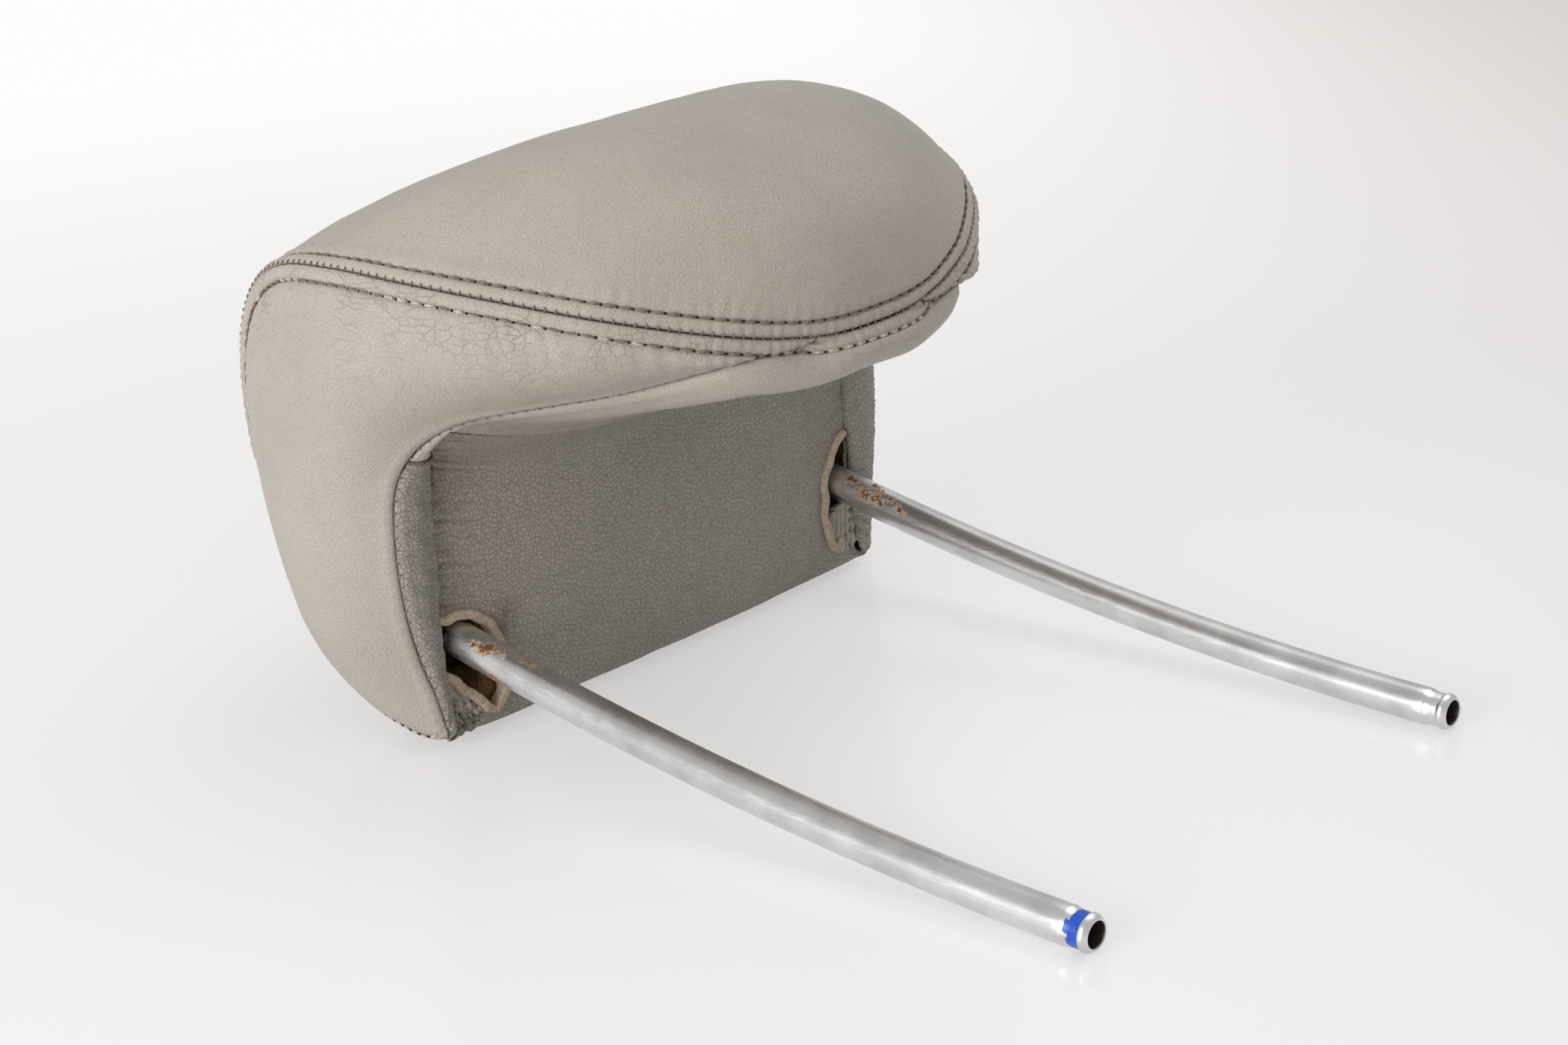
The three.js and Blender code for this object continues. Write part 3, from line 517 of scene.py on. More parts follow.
# The recess strips, whose inner edge draws aside a little past the tubes
def gussetPoints(t, v, side):
    lip, inner = seamLine(lowerSeam, t), seamLine(recessEdge, t)
    pastTube = smooth(inner[:, 2], 4, 14) * (1 - smooth(inner[:, 2], 46, 58))
    inner[:, 0] += padShape["gussetAside"] * pastTube
    width = np.linalg.norm(inner - lip, axis=1)
    points = lip[:, None] + (inner - lip)[:, None] * v[None, :, None]
    swell = padShape["gussetSwell"] * np.minimum(1, width / 12)[:, None]
    points[..., 1] -= swell * np.sin(np.pi * v)[None, :]
    points[..., 0] *= side
    return points


# Column places across a panel: close together near its seams, wide apart in its middle
def columnsAcross(width, atStart, atEnd, fine=0.6, coarse=3.4):
    def steps(reach):
        run = [fine] * max(1, round(reach / fine))
        while run[-1] * 1.35 < coarse:
            run.append(run[-1] * 1.35)
        return run
    start, end = steps(atStart), steps(atEnd)
    left = width - sum(start) - sum(end)
    middle = max(1, round(left / coarse))
    gaps = np.array(start + [left / middle] * middle + end[::-1])
    return np.concatenate([[0], np.cumsum(gaps)]) / gaps.sum()


def bothWays(halfWidth, atSeam):
    half = 1 - columnsAcross(halfWidth, atSeam, 1)
    return np.concatenate([-half, half[-2::-1]])


def rowsBetween(first, last):
    return np.linspace(first, last, round(abs(last - first) * padShape["rowsPerSection"]) + 1)


def runLengths(points, axis):
    steps = np.linalg.norm(np.diff(points, axis=axis), axis=2)
    zero = np.zeros_like(np.take(steps, [0], axis=axis))
    return np.concatenate([zero, np.cumsum(steps, axis=axis)], axis=axis)


# How the leather lies beside a seam, by the distance from it and along it: a tucked edge, a padded
# ridge and the valley that the topstitching pulls down
seamLook = {
    "topstitchAway": 5,
    "topstitchPitch": 5,
    "tickPitch": 3.4,
    "tuck": 0.6,
    "ridge": 1.25,
    "valley": 0.75,
    "swell": 0.4,
    "plainTuck": 0.75,
    "plainSwell": 0.5,
    "foldTuck": 1.0,
    "foldSwell": 0.8,
}


def tripleSeam(away, along):
    row = seamLook["topstitchAway"]
    pulled = np.cos(2 * np.pi * along / seamLook["topstitchPitch"])
    puckers = np.cos(2 * np.pi * along / seamLook["tickPitch"])
    ridge = np.sin(np.pi * np.clip(away / row, 0, 1)) ** 0.7
    return (
        -seamLook["tuck"] * np.exp(-((away / 0.4) ** 2))
        + seamLook["ridge"] * ridge * (1 + 0.12 * puckers - 0.12 * pulled)
        - seamLook["valley"] * (1 + 0.3 * pulled) * np.exp(-(((away - row) / 0.75) ** 2))
        + seamLook["swell"] * np.exp(-(((away - row - 3.4) / 2.4) ** 2)) * (1 - 0.35 * pulled)
    )


def plainSeam(away, along):
    puckers = np.cos(2 * np.pi * along / 4.2)
    return (
        -seamLook["plainTuck"] * np.exp(-((away / 0.55) ** 2))
        + seamLook["plainSwell"] * np.exp(-(((away - 2.8) / 1.8) ** 2)) * (1 + 0.2 * puckers)
    )


# A folded edge that stands over its neighbour
def foldedSeam(away, along):
    return (
        -seamLook["foldTuck"] * np.exp(-((away / 0.5) ** 2))
        + seamLook["foldSwell"] * np.exp(-(((away - 2.2) / 2) ** 2))
    )


def tuckedSeam(away, along):
    return -seamLook["foldTuck"] * np.exp(-((away / 0.8) ** 2))


# Soft irregular waves that run away from a seam
def ripples(along, away, seed, shortest, longest, slant=0.3, count=12):
    dice = random.Random(seed)
    total = np.zeros_like(along)
    for _ in range(count):
        wave = dice.uniform(shortest, longest)
        tilt = dice.uniform(-slant, slant)
        total += np.sin(2 * math.pi * (along + tilt * away) / wave + dice.uniform(0, 2 * math.pi))
    return total / math.sqrt(count)


def cloudy(points, size, seed):
    flat = points.reshape(-1, 3) / size + seed * 7.3
    return np.array([noise.noise(Vector(p)) for p in flat]).reshape(points.shape[:2])


class SeamRun:
    def __init__(self, points, spacing=0.2):
        run = np.concatenate([[0], np.cumsum(np.linalg.norm(np.diff(points, axis=0), axis=1))])
        self.along = np.arange(0, run[-1], spacing)
        line = np.stack([np.interp(self.along, run, points[:, k]) for k in range(3)], axis=1)
        self.tree = KDTree(len(line))
        for number, place in enumerate(line):
            self.tree.insert(place, number)
        self.tree.balance()

    def measure(self, points):
        found = [self.tree.find(place)[1:] for place in points.reshape(-1, 3)]
        number, away = zip(*found)
        shape = points.shape[:2]
        return np.array(away).reshape(shape), self.along[list(number)].reshape(shape)


class Panel:
    def __init__(self, name, points, flip, seams):
        self.name, self.flip, self.base = name, flip, points
        down, right = np.gradient(points, axis=0), np.gradient(points, axis=1)
        normal = np.cross(right, down) * (-1 if flip else 1)
        self.normals = normal / np.maximum(np.linalg.norm(normal, axis=2, keepdims=True), 1e-9)
        downRun, rightRun = runLengths(points, 0), runLengths(points, 1)
        shape = rightRun.shape
        self.away = {
            "first": downRun, "last": downRun[-1:] - downRun,
            "left": rightRun, "right": rightRun[:, -1:] - rightRun,
        }
        self.along = {
            "first": np.broadcast_to(rightRun[:1] - rightRun[:1].mean(), shape),
            "last": np.broadcast_to(rightRun[-1:] - rightRun[-1:].mean(), shape),
            "left": np.broadcast_to(downRun[:, :1], shape),
            "right": np.broadcast_to(downRun[:, -1:], shape),
        }
        self.low, self.high = np.zeros(shape), np.zeros(shape)
        self.nearest = np.full(shape, 99.0)
        self.measured = {}
        for run, profile, share in seams:
            if run in self.away:
                away, along = self.away[run], self.along[run]
            else:
                away, along = seamRuns[run].measure(points)
            self.measured[run] = away, along
            share = np.broadcast_to(np.reshape(share, (-1, 1)), shape)
            height = profile(away, along) * share
            self.low = np.minimum(self.low, height)
            self.high = np.maximum(self.high, height)
            self.nearest = np.minimum(self.nearest, np.where(share > 0.5, away, 99.0))
        self.extra = np.zeros(shape)
        self.grimeAndShade = np.zeros(shape)
        self.worn = np.full(shape, 0.12)

    def edgePlaces(self):
        rows, columns = self.base.shape[:2]
        ends = [(0, c) for c in range(columns)] + [(rows - 1, c) for c in range(columns)]
        return ends + [(r, 0) for r in range(rows)] + [(r, columns - 1) for r in range(rows)]

    # Where two panels are sewn together they share a normal, so that their edges meet
    def shareNormals(self, shared):
        edges = {"first": np.s_[:1], "last": np.s_[-1:], "left": np.s_[:, :1], "right": np.s_[:, -1:]}
        for edge, cells in edges.items():
            line = self.base[cells]
            sewn = np.array([[shared[edgeKey(p)] for p in row] for row in line])
            weight = np.exp(-((self.away[edge] / 4) ** 2))[..., None]
            mixed = self.normals * (1 - weight) + sewn * weight
            self.normals = mixed / np.maximum(np.linalg.norm(mixed, axis=2, keepdims=True), 1e-9)

    def placed(self):
        return self.base + self.normals * (self.low + self.high + self.extra)[..., None]


def edgeKey(point):
    return tuple(np.round(point * 20).astype(int))


# The cover's panels
shape = padShape
strip = bothWays(shape["stripWidth"], 9)
under = bothWays(shape["stripWidth"] * 0.85, 4)
sideAcross = columnsAcross(shape["sideWidth"], 9, 5)
gussetAcross = columnsAcross(shape["gussetWidth"], 4, 4, coarse=1)

frontRows = rowsBetween(0, shape["backSeam"])
chinRows = rowsBetween(0, shape["recessTop"])
backRows = rowsBetween(shape["backSeam"], shape["lastSection"])
recessRows = rowsBetween(shape["lastSection"], shape["recessTop"])
sideRows = rowsBetween(0, shape["lastSection"])
lipRows = rowsBetween(shape["gussetStart"], shape["transverseSeam"])
gussetRows = rowsBetween(shape["transverseSeam"], shape["lastSection"])

frontPoints = stripPoints(frontMiddle, "frontCrown", frontRows, strip)
topRun = [frontPoints[::-1, 0], frontPoints[0, 1:], frontPoints[1:, -1]]
seamRuns = {"top": SeamRun(np.concatenate(topRun)), "back": SeamRun(frontPoints[-1])}
for label, side in (("left", -1), ("right", 1)):
    mirror = np.array([side, 1, 1])
    seamRuns[f"bottom_{label}"] = SeamRun(seamLine(frontSeam, backRows) * mirror)


# The chin's two corners stand out between their seams
cornerLook = {
    "centre": (46, 168, 130),
    "reach": 22,
    "push": 12,
    "heading": (0.69, -0.667, 0.281),
    "fromSeam": (1, 12),
}


def fullCorners(points):
    away = seamRuns["top"].measure(points)[0]
    aside = np.stack([np.sign(points[..., 0])] + [np.ones(points.shape[:2])] * 2, axis=2)
    apart = np.linalg.norm(points * aside - cornerLook["centre"], axis=2)
    push = cornerLook["push"] * smooth(away, *cornerLook["fromSeam"])
    push = push * np.exp(-((apart / cornerLook["reach"]) ** 2))
    return points + push[..., None] * aside * cornerLook["heading"]


for label, side in (("left", -1), ("right", 1)):
    lowerLine = seamLine(lowerSeam, sideRows) * np.array([side, 1, 1])
    seamRuns[f"lower_{label}"] = SeamRun(fullCorners(lowerLine[None])[0])


def beforeTip(rows):
    return 1 - smooth(rows, 16.1, 16.9)


panels = {}
panels["front"] = Panel("front_cover", frontPoints, False, [("top", tripleSeam, 1), ("back", plainSeam, 1)])
sewnChin = 1 - smooth(chinRows, shape["gussetStart"] - 0.1, shape["gussetStart"] + 0.3)
panels["chin"] = Panel(
    "chin_cover", fullCorners(stripPoints(underMiddle, "underCrown", chinRows, under)), True,
    [
        ("top", tripleSeam, 1), ("last", plainSeam, 1),
        ("lower_left", plainSeam, sewnChin), ("lower_right", plainSeam, sewnChin),
    ],
)
rearPoints = np.concatenate([
    stripPoints(frontMiddle, "frontCrown", backRows, under),
    stripPoints(underMiddle, "underCrown", recessRows, under)[1:],
])
rearIsRecess = np.concatenate([np.zeros(len(backRows)), np.ones(len(recessRows) - 1)])
rearHeight = rearPoints[..., 2]
behindStrip = rearIsRecess[:, None] * smooth(rearHeight, 8, 16) * (1 - smooth(rearHeight, 80, 92))
behindStrip = behindStrip * smooth(np.abs(under), 0.93, 1)[None, :]
rearPoints[..., 0] += padShape["behindStrips"] * behindStrip * np.sign(rearPoints[..., 0])
rearFade = beforeTip(np.concatenate([backRows, recessRows[1:]]))
panels["rear"] = Panel(
    "rear_cover", rearPoints, False,
    [
        ("back", plainSeam, 1 - rearIsRecess), ("last", plainSeam, 1),
        ("bottom_left", plainSeam, (1 - rearIsRecess) * rearFade),
        ("bottom_right", plainSeam, (1 - rearIsRecess) * rearFade),
        ("left", tuckedSeam, rearIsRecess * rearFade), ("right", tuckedSeam, rearIsRecess * rearFade),
    ],
)
isTriple = 1 - smooth(sideRows, shape["backSeam"], shape["backSeam"] + 0.4)
for label, side in (("left", -1), ("right", 1)):
    panels[f"side_{label}"] = Panel(
        f"side_cover_{label}", fullCorners(sidePoints(sideRows, sideAcross, side)), side < 0,
        [
            ("top", tripleSeam, isTriple),
            (f"bottom_{label}", plainSeam, (1 - isTriple) * beforeTip(sideRows)),
            (f"lower_{label}", plainSeam, beforeTip(sideRows)),
        ],
    )
    panels[f"lip_{label}"] = Panel(
        f"chin_lip_{label}", gussetPoints(lipRows, gussetAcross, side), side < 0,
        [(f"lower_{label}", plainSeam, 1), ("last", plainSeam, 1)],
    )
    fade = beforeTip(gussetRows)
    panels[f"strip_{label}"] = Panel(
        f"recess_strip_{label}", gussetPoints(gussetRows, gussetAcross, side), side < 0,
        [("first", plainSeam, 1), (f"lower_{label}", plainSeam, fade), ("right", foldedSeam, fade)],
    )

sharedNormals = {}
for panel in panels.values():
    for row, column in set(panel.edgePlaces()):
        key = edgeKey(panel.base[row, column])
        sharedNormals[key] = sharedNormals.get(key, np.zeros(3)) + panel.normals[row, column]
for key, total in sharedNormals.items():
    sharedNormals[key] = total / max(np.linalg.norm(total), 1e-9)
for panel in panels.values():
    panel.shareNormals(sharedNormals)
print("panel surfaces laid out")

# What wear and sewing do to the leather besides its seams, with painted shade under the chin's lip and darker
# streaks along the recess's edges
wearLook = {
    "chinSwell": 2.5,
    "creaseDepth": 0.3,
    "creaseReach": 26,
    "recessEdgeDarkening": 1.25,
    "middleCrease": (4, 0.25),
    "smudge": ((-76, 255, 37), 5.5),
}


def roughen(panel, seed, wave=0.35):
    calm = smooth(panel.nearest, 2, 12)
    panel.extra += wave * calm * cloudy(panel.base, 24, seed) + 0.1 * calm * cloudy(panel.base, 7, seed + 3)


for seed, panel in enumerate(panels.values()):
    roughen(panel, seed)
for label in ("left", "right"):
    panel = panels[f"side_{label}"]
    away, along = panel.away["left"], panel.along["left"]
    fades = np.exp(-away / wearLook["creaseReach"]) * smooth(away, 5, 9)
    onFront = (1 - smooth(sideRows, 8, 10))[:, None]
    panel.extra += wearLook["creaseDepth"] * fades * onFront * ripples(along, away, 11, 3.5, 11)
    panel.worn += 1.4 * onFront * np.exp(-away / 30)
    gusset = panels[f"strip_{label}"]
    gusset.extra += 0.22 * ripples(gusset.along["left"], gusset.away["left"], 5, 5, 14, 0.8)
for edge in ("left", "right"):
    panel = panels["front"]
    away, along = panel.away[edge], panel.along[edge]
    fades = np.exp(-away / 14) * smooth(away, 5, 8)
    panel.extra += 0.12 * fades * ripples(along, away, 21, 4, 10)

chin = panels["chin"]
for label in ("left", "right"):
    away = chin.measured[f"lower_{label}"][0]
    onChin = (smooth(chinRows, 0.4, 1.6) * (1 - smooth(chinRows, 3.6, 5)))[:, None]
    chin.extra += wearLook["chinSwell"] * onChin * np.exp(-(((away - 11) / 9) ** 2))

# Painted shade: the chin's last rows, tucked under its lip against the recess, are darkened
chin.grimeAndShade += 0.32 * smooth(chinRows, 4.3, 5)[:, None]

rear = panels["rear"]
x, y, z = rear.base[..., 0], rear.base[..., 1], rear.base[..., 2]
inRecess = rearIsRecess[:, None]
# The recess gets darker in streaks along its side edges, more along the left one
for edge, share in (("left", 1), ("right", 0.45)):
    away, along = rear.away[edge], rear.along[edge]
    streaks = 0.55 + 0.45 * ripples(along, away * 0.2, 31, 2, 7, 0.1)
    rear.grimeAndShade += inRecess * share * wearLook["recessEdgeDarkening"] * np.exp(-away / 8) * np.clip(streaks, 0, 1.4)
    rear.extra += inRecess * 0.3 * np.exp(-away / 18) * ripples(along, away, 41, 5, 16, 0.2)
place, reach = wearLook["smudge"]
smudgeAway = np.hypot(x - place[0] - (z - place[2]) * 0.4, (z - place[2]) * 0.8)
rear.grimeAndShade += inRecess * 0.85 * np.exp(-((smudgeAway / reach) ** 2))
creaseX, creaseDepth = wearLook["middleCrease"]
upright = smooth(z, 18, 40) * (1 - smooth(z, 60, 80))
rear.extra -= inRecess * creaseDepth * np.exp(-(((x - creaseX) / 1.6) ** 2)) * upright
rear.grimeAndShade = np.clip(rear.grimeAndShade, 0, 1)

# Pleats gathered under each post slot: a fan of folds about a focus, between two angles
pleats = {
    "left": {"focus": (-98.5, 27), "from": -104, "to": -48, "count": 5, "reach": (8, 27), "depth": 1.5},
    "right": {"focus": (84, 34), "from": -72, "to": -34, "count": 5, "reach": (18, 32), "depth": 1.0},
}


def pleatHeight(points, look):
    dx, dz = points[..., 0] - look["focus"][0], points[..., 2] - look["focus"][1]
    away = np.hypot(dx, dz)
    turn = (np.degrees(np.arctan2(dz, dx)) - look["from"]) / (look["to"] - look["from"])
    inside = smooth(turn, -0.05, 0.08) * (1 - smooth(turn, 0.92, 1.05))
    first, last = look["reach"]
    near = smooth(away, first - 4, first) * (1 - smooth(away, last - 6, last))
    atBack = 1 - smooth(points[..., 1], 262, 272)
    fold = np.abs(np.sin(np.pi * turn * look["count"])) ** 0.7 * 1.6 - 1
    return look["depth"] * inside * near * atBack * fold


for label, look in pleats.items():
    for key in ("rear", f"strip_{label}"):
        panels[key].extra += pleatHeight(panels[key].base, look)

# The slots that the posts come through, as outlines of (x, z), and their raw leather bands
slotLook = {
    "left": {
        "hole": [
            (-99.5, 44.4), (-94.8, 43.8), (-88.3, 43), (-84, 40.4), (-81, 37.2), (-78.6, 32.8),
            (-77.2, 26), (-76.9, 20), (-77.6, 14.6), (-79.4, 10.4), (-83.6, 8.4), (-87.4, 10.5),
            (-92, 13.5), (-99.5, 17),
        ],
        "band": [
            (-100.6, 44.6), (-97, 43.9), (-93, 44.4), (-88.3, 43.4), (-84, 40.8), (-81, 37.4), (-78.6, 32.8),
            (-77.2, 26), (-76.9, 20), (-77.6, 14.6), (-79.4, 9.9), (-82.8, 8),
        ],
        # the band's lower edge
        "edge": [(-82.4, 8), (-85.6, 10.2), (-89.5, 14.6), (-94, 19.5), (-99.6, 25.4)],
    },
    "right": {
        "hole": [
            (99.5, 52), (94.5, 51.4), (87.7, 46), (83, 38.6), (81.9, 28), (83.6, 17.5), (86.7, 13.4),
            (92, 13.8), (99.5, 17),
        ],
        "band": [
            (97, 53.6), (94, 51.6), (87.4, 46.4), (82.8, 39), (81.9, 28), (83.2, 17.5), (86.2, 12.6),
            (90.2, 13.6),
        ],
    },
    "bandWidth": 3.5,
    "bandDepth": 5,
    "proud": 1.7,
}


def curveThrough(points, spacing):
    points = np.array(points, float)
    ends = withEnds(points)
    line = []
    for k in range(len(points) - 1):
        for w in np.linspace(0, 1, 12, endpoint=False):
            line.append(throughFour(*ends[k:k + 4], w))
    line = np.array(line + [points[-1]])
    run = np.concatenate([[0], np.cumsum(np.linalg.norm(np.diff(line, axis=0), axis=1))])
    at = np.linspace(0, run[-1], max(2, round(run[-1] / spacing)) + 1)
    return np.stack([np.interp(at, run, line[:, k]) for k in range(line.shape[1])], axis=1)


def insideOutline(outline, px, pz):
    inside = False
    for (ax, az), (bx, bz) in zip(outline, np.roll(outline, -1, axis=0)):
        if (az > pz) != (bz > pz) and px < ax + (pz - az) / (bz - az) * (bx - ax):
            inside = not inside
    return inside


# Draws the grid's nearest points onto a slot's outline, so that the faces inside it can go
def drawToOutline(panel, outline):
    low, high = outline.min(axis=0) - 4, outline.max(axis=0) + 4
    for points in panel.base:
        close = (points[:, 1] < 262) & (points[:, 0] > low[0]) & (points[:, 0] < high[0])
        close &= (points[:, 2] > low[1]) & (points[:, 2] < high[1])
        columns = np.flatnonzero(close)
        for one, other in zip(columns[:-1], columns[1:]):
            a, b = points[one].copy(), points[other].copy()
            atA, atB = insideOutline(outline, a[0], a[2]), insideOutline(outline, b[0], b[2])
            if atA == atB:
                continue
            near, far = 0.0, 1.0
            for _ in range(12):
                middle = (near + far) / 2
                at = a + (b - a) * middle
                near, far = (middle, far) if insideOutline(outline, at[0], at[2]) == atA else (near, middle)
            points[one if near < 0.5 else other] = a + (b - a) * near


slotOutlines = [curveThrough(slotLook[label]["hole"], 1) for label in ("left", "right")]
for outline in slotOutlines:
    drawToOutline(panels["rear"], outline)


def inSlot(centre):
    at = np.array(centre) / mm - tipDatum
    near = at[1] < 264 and abs(at[0]) > 70 and at[2] < 56
    return near and any(insideOutline(outline, at[0], at[2]) for outline in slotOutlines)


pieces = {}
for key, panel in panels.items():
    leather = recessLeather if key == "rear" or key.startswith("strip") else coverLeather
    marks = {"seamAway": panel.nearest, "grimeAndShade": panel.grimeAndShade, "worn": panel.worn}
    drop = inSlot if key == "rear" else None
    piece = gridPiece(panel.name, panel.placed(), leather, marks, panel.flip, drop)
    pieces[key] = settle(addWall(piece, shape["leather"]))
print("cover panels made")


def rearSurface():
    grid = panels["rear"].placed().reshape(-1, 3)
    rows, columns = panels["rear"].base.shape[:2]
    corner = np.arange((rows - 1) * columns).reshape(rows - 1, columns)[:, :-1].ravel()
    quads = np.stack([corner, corner + 1, corner + columns + 1, corner + columns], axis=1)
    return BVHTree.FromPolygons([Vector(p) for p in grid], quads.tolist())


rearTree = rearSurface()


# Where the rear cover's recess lies behind a point; the strips hide what is further out than its reach
def recessFace(px, pz, reach=97, ahead=150):
    hit = rearTree.ray_cast(Vector((max(-reach, min(reach, px)), ahead, pz)), Vector((0, 1, 0)))
    return hit[0].y


# A flat strap of rounded section on its edge along a line in x and z
def strapSection(width, depth, perSide=4):
    corner = min(width, depth) * 0.3
    section = []
    for k, (sx, sy) in enumerate(((1, -1), (1, 1), (-1, 1), (-1, -1))):
        for turn in np.linspace(0, np.pi / 2, perSide):
            angle = turn + (k - 1) * np.pi / 2
            section.append((
                sx * (width / 2 - corner) + corner * math.cos(angle),
                sy * (depth / 2 - corner) + corner * math.sin(angle),
            ))
    return np.array(section + section[:1])


def strap(name, line, material, seed, sway=0.25):
    width, depth = slotLook["bandWidth"], slotLook["bandDepth"]
    step = 0.8
    path = curveThrough(line, step)
    tangent = np.gradient(path, axis=0)
    tangent /= np.linalg.norm(tangent, axis=1, keepdims=True)
    across = np.stack([tangent[:, 1], -tangent[:, 0]], axis=1)
    run = np.arange(len(path)) * step
    swayed = sway * ripples(run, run * 0, seed, 6, 15)
    section = strapSection(width, depth)
    front = np.array([recessFace(*p) for p in path]) - slotLook["proud"] + 0.5 * swayed
    points = np.zeros((len(path) + 2, len(section), 3))
    for k, place in enumerate(path):
        taper = 1 - 0.35 * math.exp(-min(k, len(path) - 1 - k) / 2)
        offset = section[:, 0] * taper + swayed[k]
        points[k + 1, :, 0] = place[0] + across[k, 0] * offset
        points[k + 1, :, 2] = place[1] + across[k, 1] * offset
        points[k + 1, :, 1] = front[k] + depth / 2 + section[:, 1]
    points[0] = points[1].mean(axis=0)
    points[-1] = points[-2].mean(axis=0)
    return gridPiece(name, points, material)


straps = (("band_left", "left", "band"), ("band_right", "right", "band"), ("edge_left", "left", "edge"))
for seed, (key, label, line) in enumerate(straps, start=50):
    pieces[key] = strap(f"slot_{key}", slotLook[label][line], grainy["raw leather edge"], seed)

# Gathered leather between the slot's lower edge and the tube
flapLook = {
    "left": {
        "low": [(-83.6, 7.4), (-88, 7.6), (-93, 10.5), (-100.5, 12.5)],
        "high": [(-85.2, 10.8), (-89.4, 15.2), (-94, 20), (-100, 25.8)],
        "folds": 5,
        "slant": 0.5,
    },
    "right": {
        "low": [(85.2, 10.2), (90.5, 8.5), (95.5, 9), (101, 11)],
        "high": [(85.8, 23.5), (89.5, 25.6), (94.5, 26.4), (101, 26.2)],
        "folds": 5,
        "slant": -0.9,
    },
    "wall": 2.2,
    "depth": 1.3,
    "sunk": 0.9,
    "staysBelow": (0, 0.074, 0.009),  # metres
    "followsAbove": (0, 0.074, 0.025),
}


def evenly(line, count):
    return line[np.round(np.linspace(0, len(line) - 1, count)).astype(int)]


def flap(label, count=44, rows=22):
    look = flapLook[label]
    low = evenly(curveThrough(look["low"], 0.2), count)
    high = evenly(curveThrough(look["high"], 0.2), count)
    v = np.linspace(0, 1, rows)[:, None]
    u = np.linspace(0, 1, count)[None, :]
    points = np.zeros((rows, count, 3))
    points[..., 0] = low[None, :, 0] + (high - low)[None, :, 0] * v
    points[..., 2] = low[None, :, 1] + (high - low)[None, :, 1] * v
    turn = u + look["slant"] * (v - 0.5) * 0.3
    fold = np.abs(np.sin(np.pi * turn * look["folds"])) ** 0.7
    face = np.array([[recessFace(p[0], p[2]) for p in row] for row in points])
    points[..., 1] = face + flapLook["sunk"] * (0.3 + v) - flapLook["depth"] * fold * (0.5 + 0.5 * v)
    # Painted shade: the flap is darkest in its fold valleys, through its grime and seam marks
    marks = {"seamAway": 0.5 + 3 * fold, "grimeAndShade": 0.3 * (1 - fold), "worn": 0.4 + 0 * fold}
    piece = gridPiece(f"slot_flap_{label}", points, coverLeather, marks, label == "left")
    return addWall(piece, flapLook["wall"])


for label in ("left", "right"):
    pieces[f"flap_{label}"] = settle(flap(label))
print("slot bands and flaps made")


# Stitches: rows of small rounded threads, needle holes and ticks along the seams.
# A row is where the panel's surface lies at one distance from its seam
def rowBeside(panel, run, offset, wanted=None):
    away, along = panel.measured[run]
    data = np.concatenate([panel.placed(), panel.normals, along[..., None]], axis=2)
    found = []
    for one, other in ((np.s_[:-1], np.s_[1:]), (np.s_[:, :-1], np.s_[:, 1:])):
        a, b = away[one] - offset, away[other] - offset
        crosses = (a * b < 0) & (np.abs(along[other] - along[one]) < 4)
        if wanted is not None:
            crosses &= wanted[one] & wanted[other]
        w = (a[crosses] / (a[crosses] - b[crosses]))[:, None]
        found.append(data[one][crosses] * (1 - w) + data[other][crosses] * w)
    line = np.concatenate(found)
    line = line[np.argsort(line[:, 6])]
    kept = [0]
    for number in range(1, len(line)):
        if line[number, 6] - line[kept[-1], 6] > 0.5:
            kept.append(number)
    return line[kept]


# Places along a row, measured on the seam so that both its sides keep step
def alongRow(line, pitch, start=0.0):
    run = line[:, 6]
    at = np.arange(math.ceil((run[0] - start) / pitch) * pitch + start, run[-1], pitch)
    spots = np.stack([np.interp(at, run, line[:, k]) for k in range(6)], axis=1)
    ahead = np.stack([np.interp(at + 0.8, run, line[:, k]) for k in range(3)], axis=1)
    behind = np.stack([np.interp(at - 0.8, run, line[:, k]) for k in range(3)], axis=1)
    return list(zip(spots[:, :3], spots[:, 3:], ahead - behind))


class Sewing:
    def __init__(self, name, material, seed):
        self.name, self.material = name, material
        self.dice = random.Random(seed)
        self.all, self.row = bmesh.new(), bmesh.new()
        self.mesh = bpy.data.meshes.new(name)

    def add(self, place, normal, direction, length, thick, lift, wander=0.0):
        n = Vector(normal).normalized()
        d = Vector(direction)
        d = (d - n * d.dot(n)).normalized()
        if wander:
            d = (Matrix.Rotation(self.dice.uniform(-wander, wander), 3, n) @ d).normalized()
        side = n.cross(d)
        turn = Matrix((d, side, n)).transposed().to_4x4()
        size = Matrix.Diagonal((length / 2 * mm, thick / 2 * mm, thick / 2 * mm, 1))
        centre = Vector(toFrame(np.asarray(place) + np.asarray(n) * lift))
        matrix = Matrix.Translation(centre) @ turn @ size
        bmesh.ops.create_uvsphere(self.row, u_segments=6, v_segments=5, radius=1, matrix=matrix)
        if len(self.row.faces) > 1500:
            self.gather()

    # The operators work on one small mesh at a time
    def gather(self):
        self.row.to_mesh(self.mesh)
        self.all.from_mesh(self.mesh)
        self.row.clear()

    def finish(self):
        self.gather()
        self.row.free()
        for face in self.all.faces:
            face.smooth = True
        return meshObject(self.name, self.all, self.material)


threads = Sewing("top_stitches", grainy["taupe thread"], 1)
pale = Sewing("pale_stitches", grainy["pale thread"], 2)
# The needle holes are painted shade: dark discs where the holes are
holes = Sewing("needle_holes", grainy["needle hole"], 3)
ticks = Sewing("seam_ticks", grainy["taupe thread"], 4)

threadLook = {
    "length": 4.1,
    "thick": 1.1,
    "hole": 1.15,
    "tick": 2.0,
    "tickThick": 0.55,
    "lowerPitch": 4.2,
    "dash": (3.1, 0.95, 4),
    "dashAway": 4.5,
    "dashFrom": 13.6,
    "dashHole": 1.2,
}


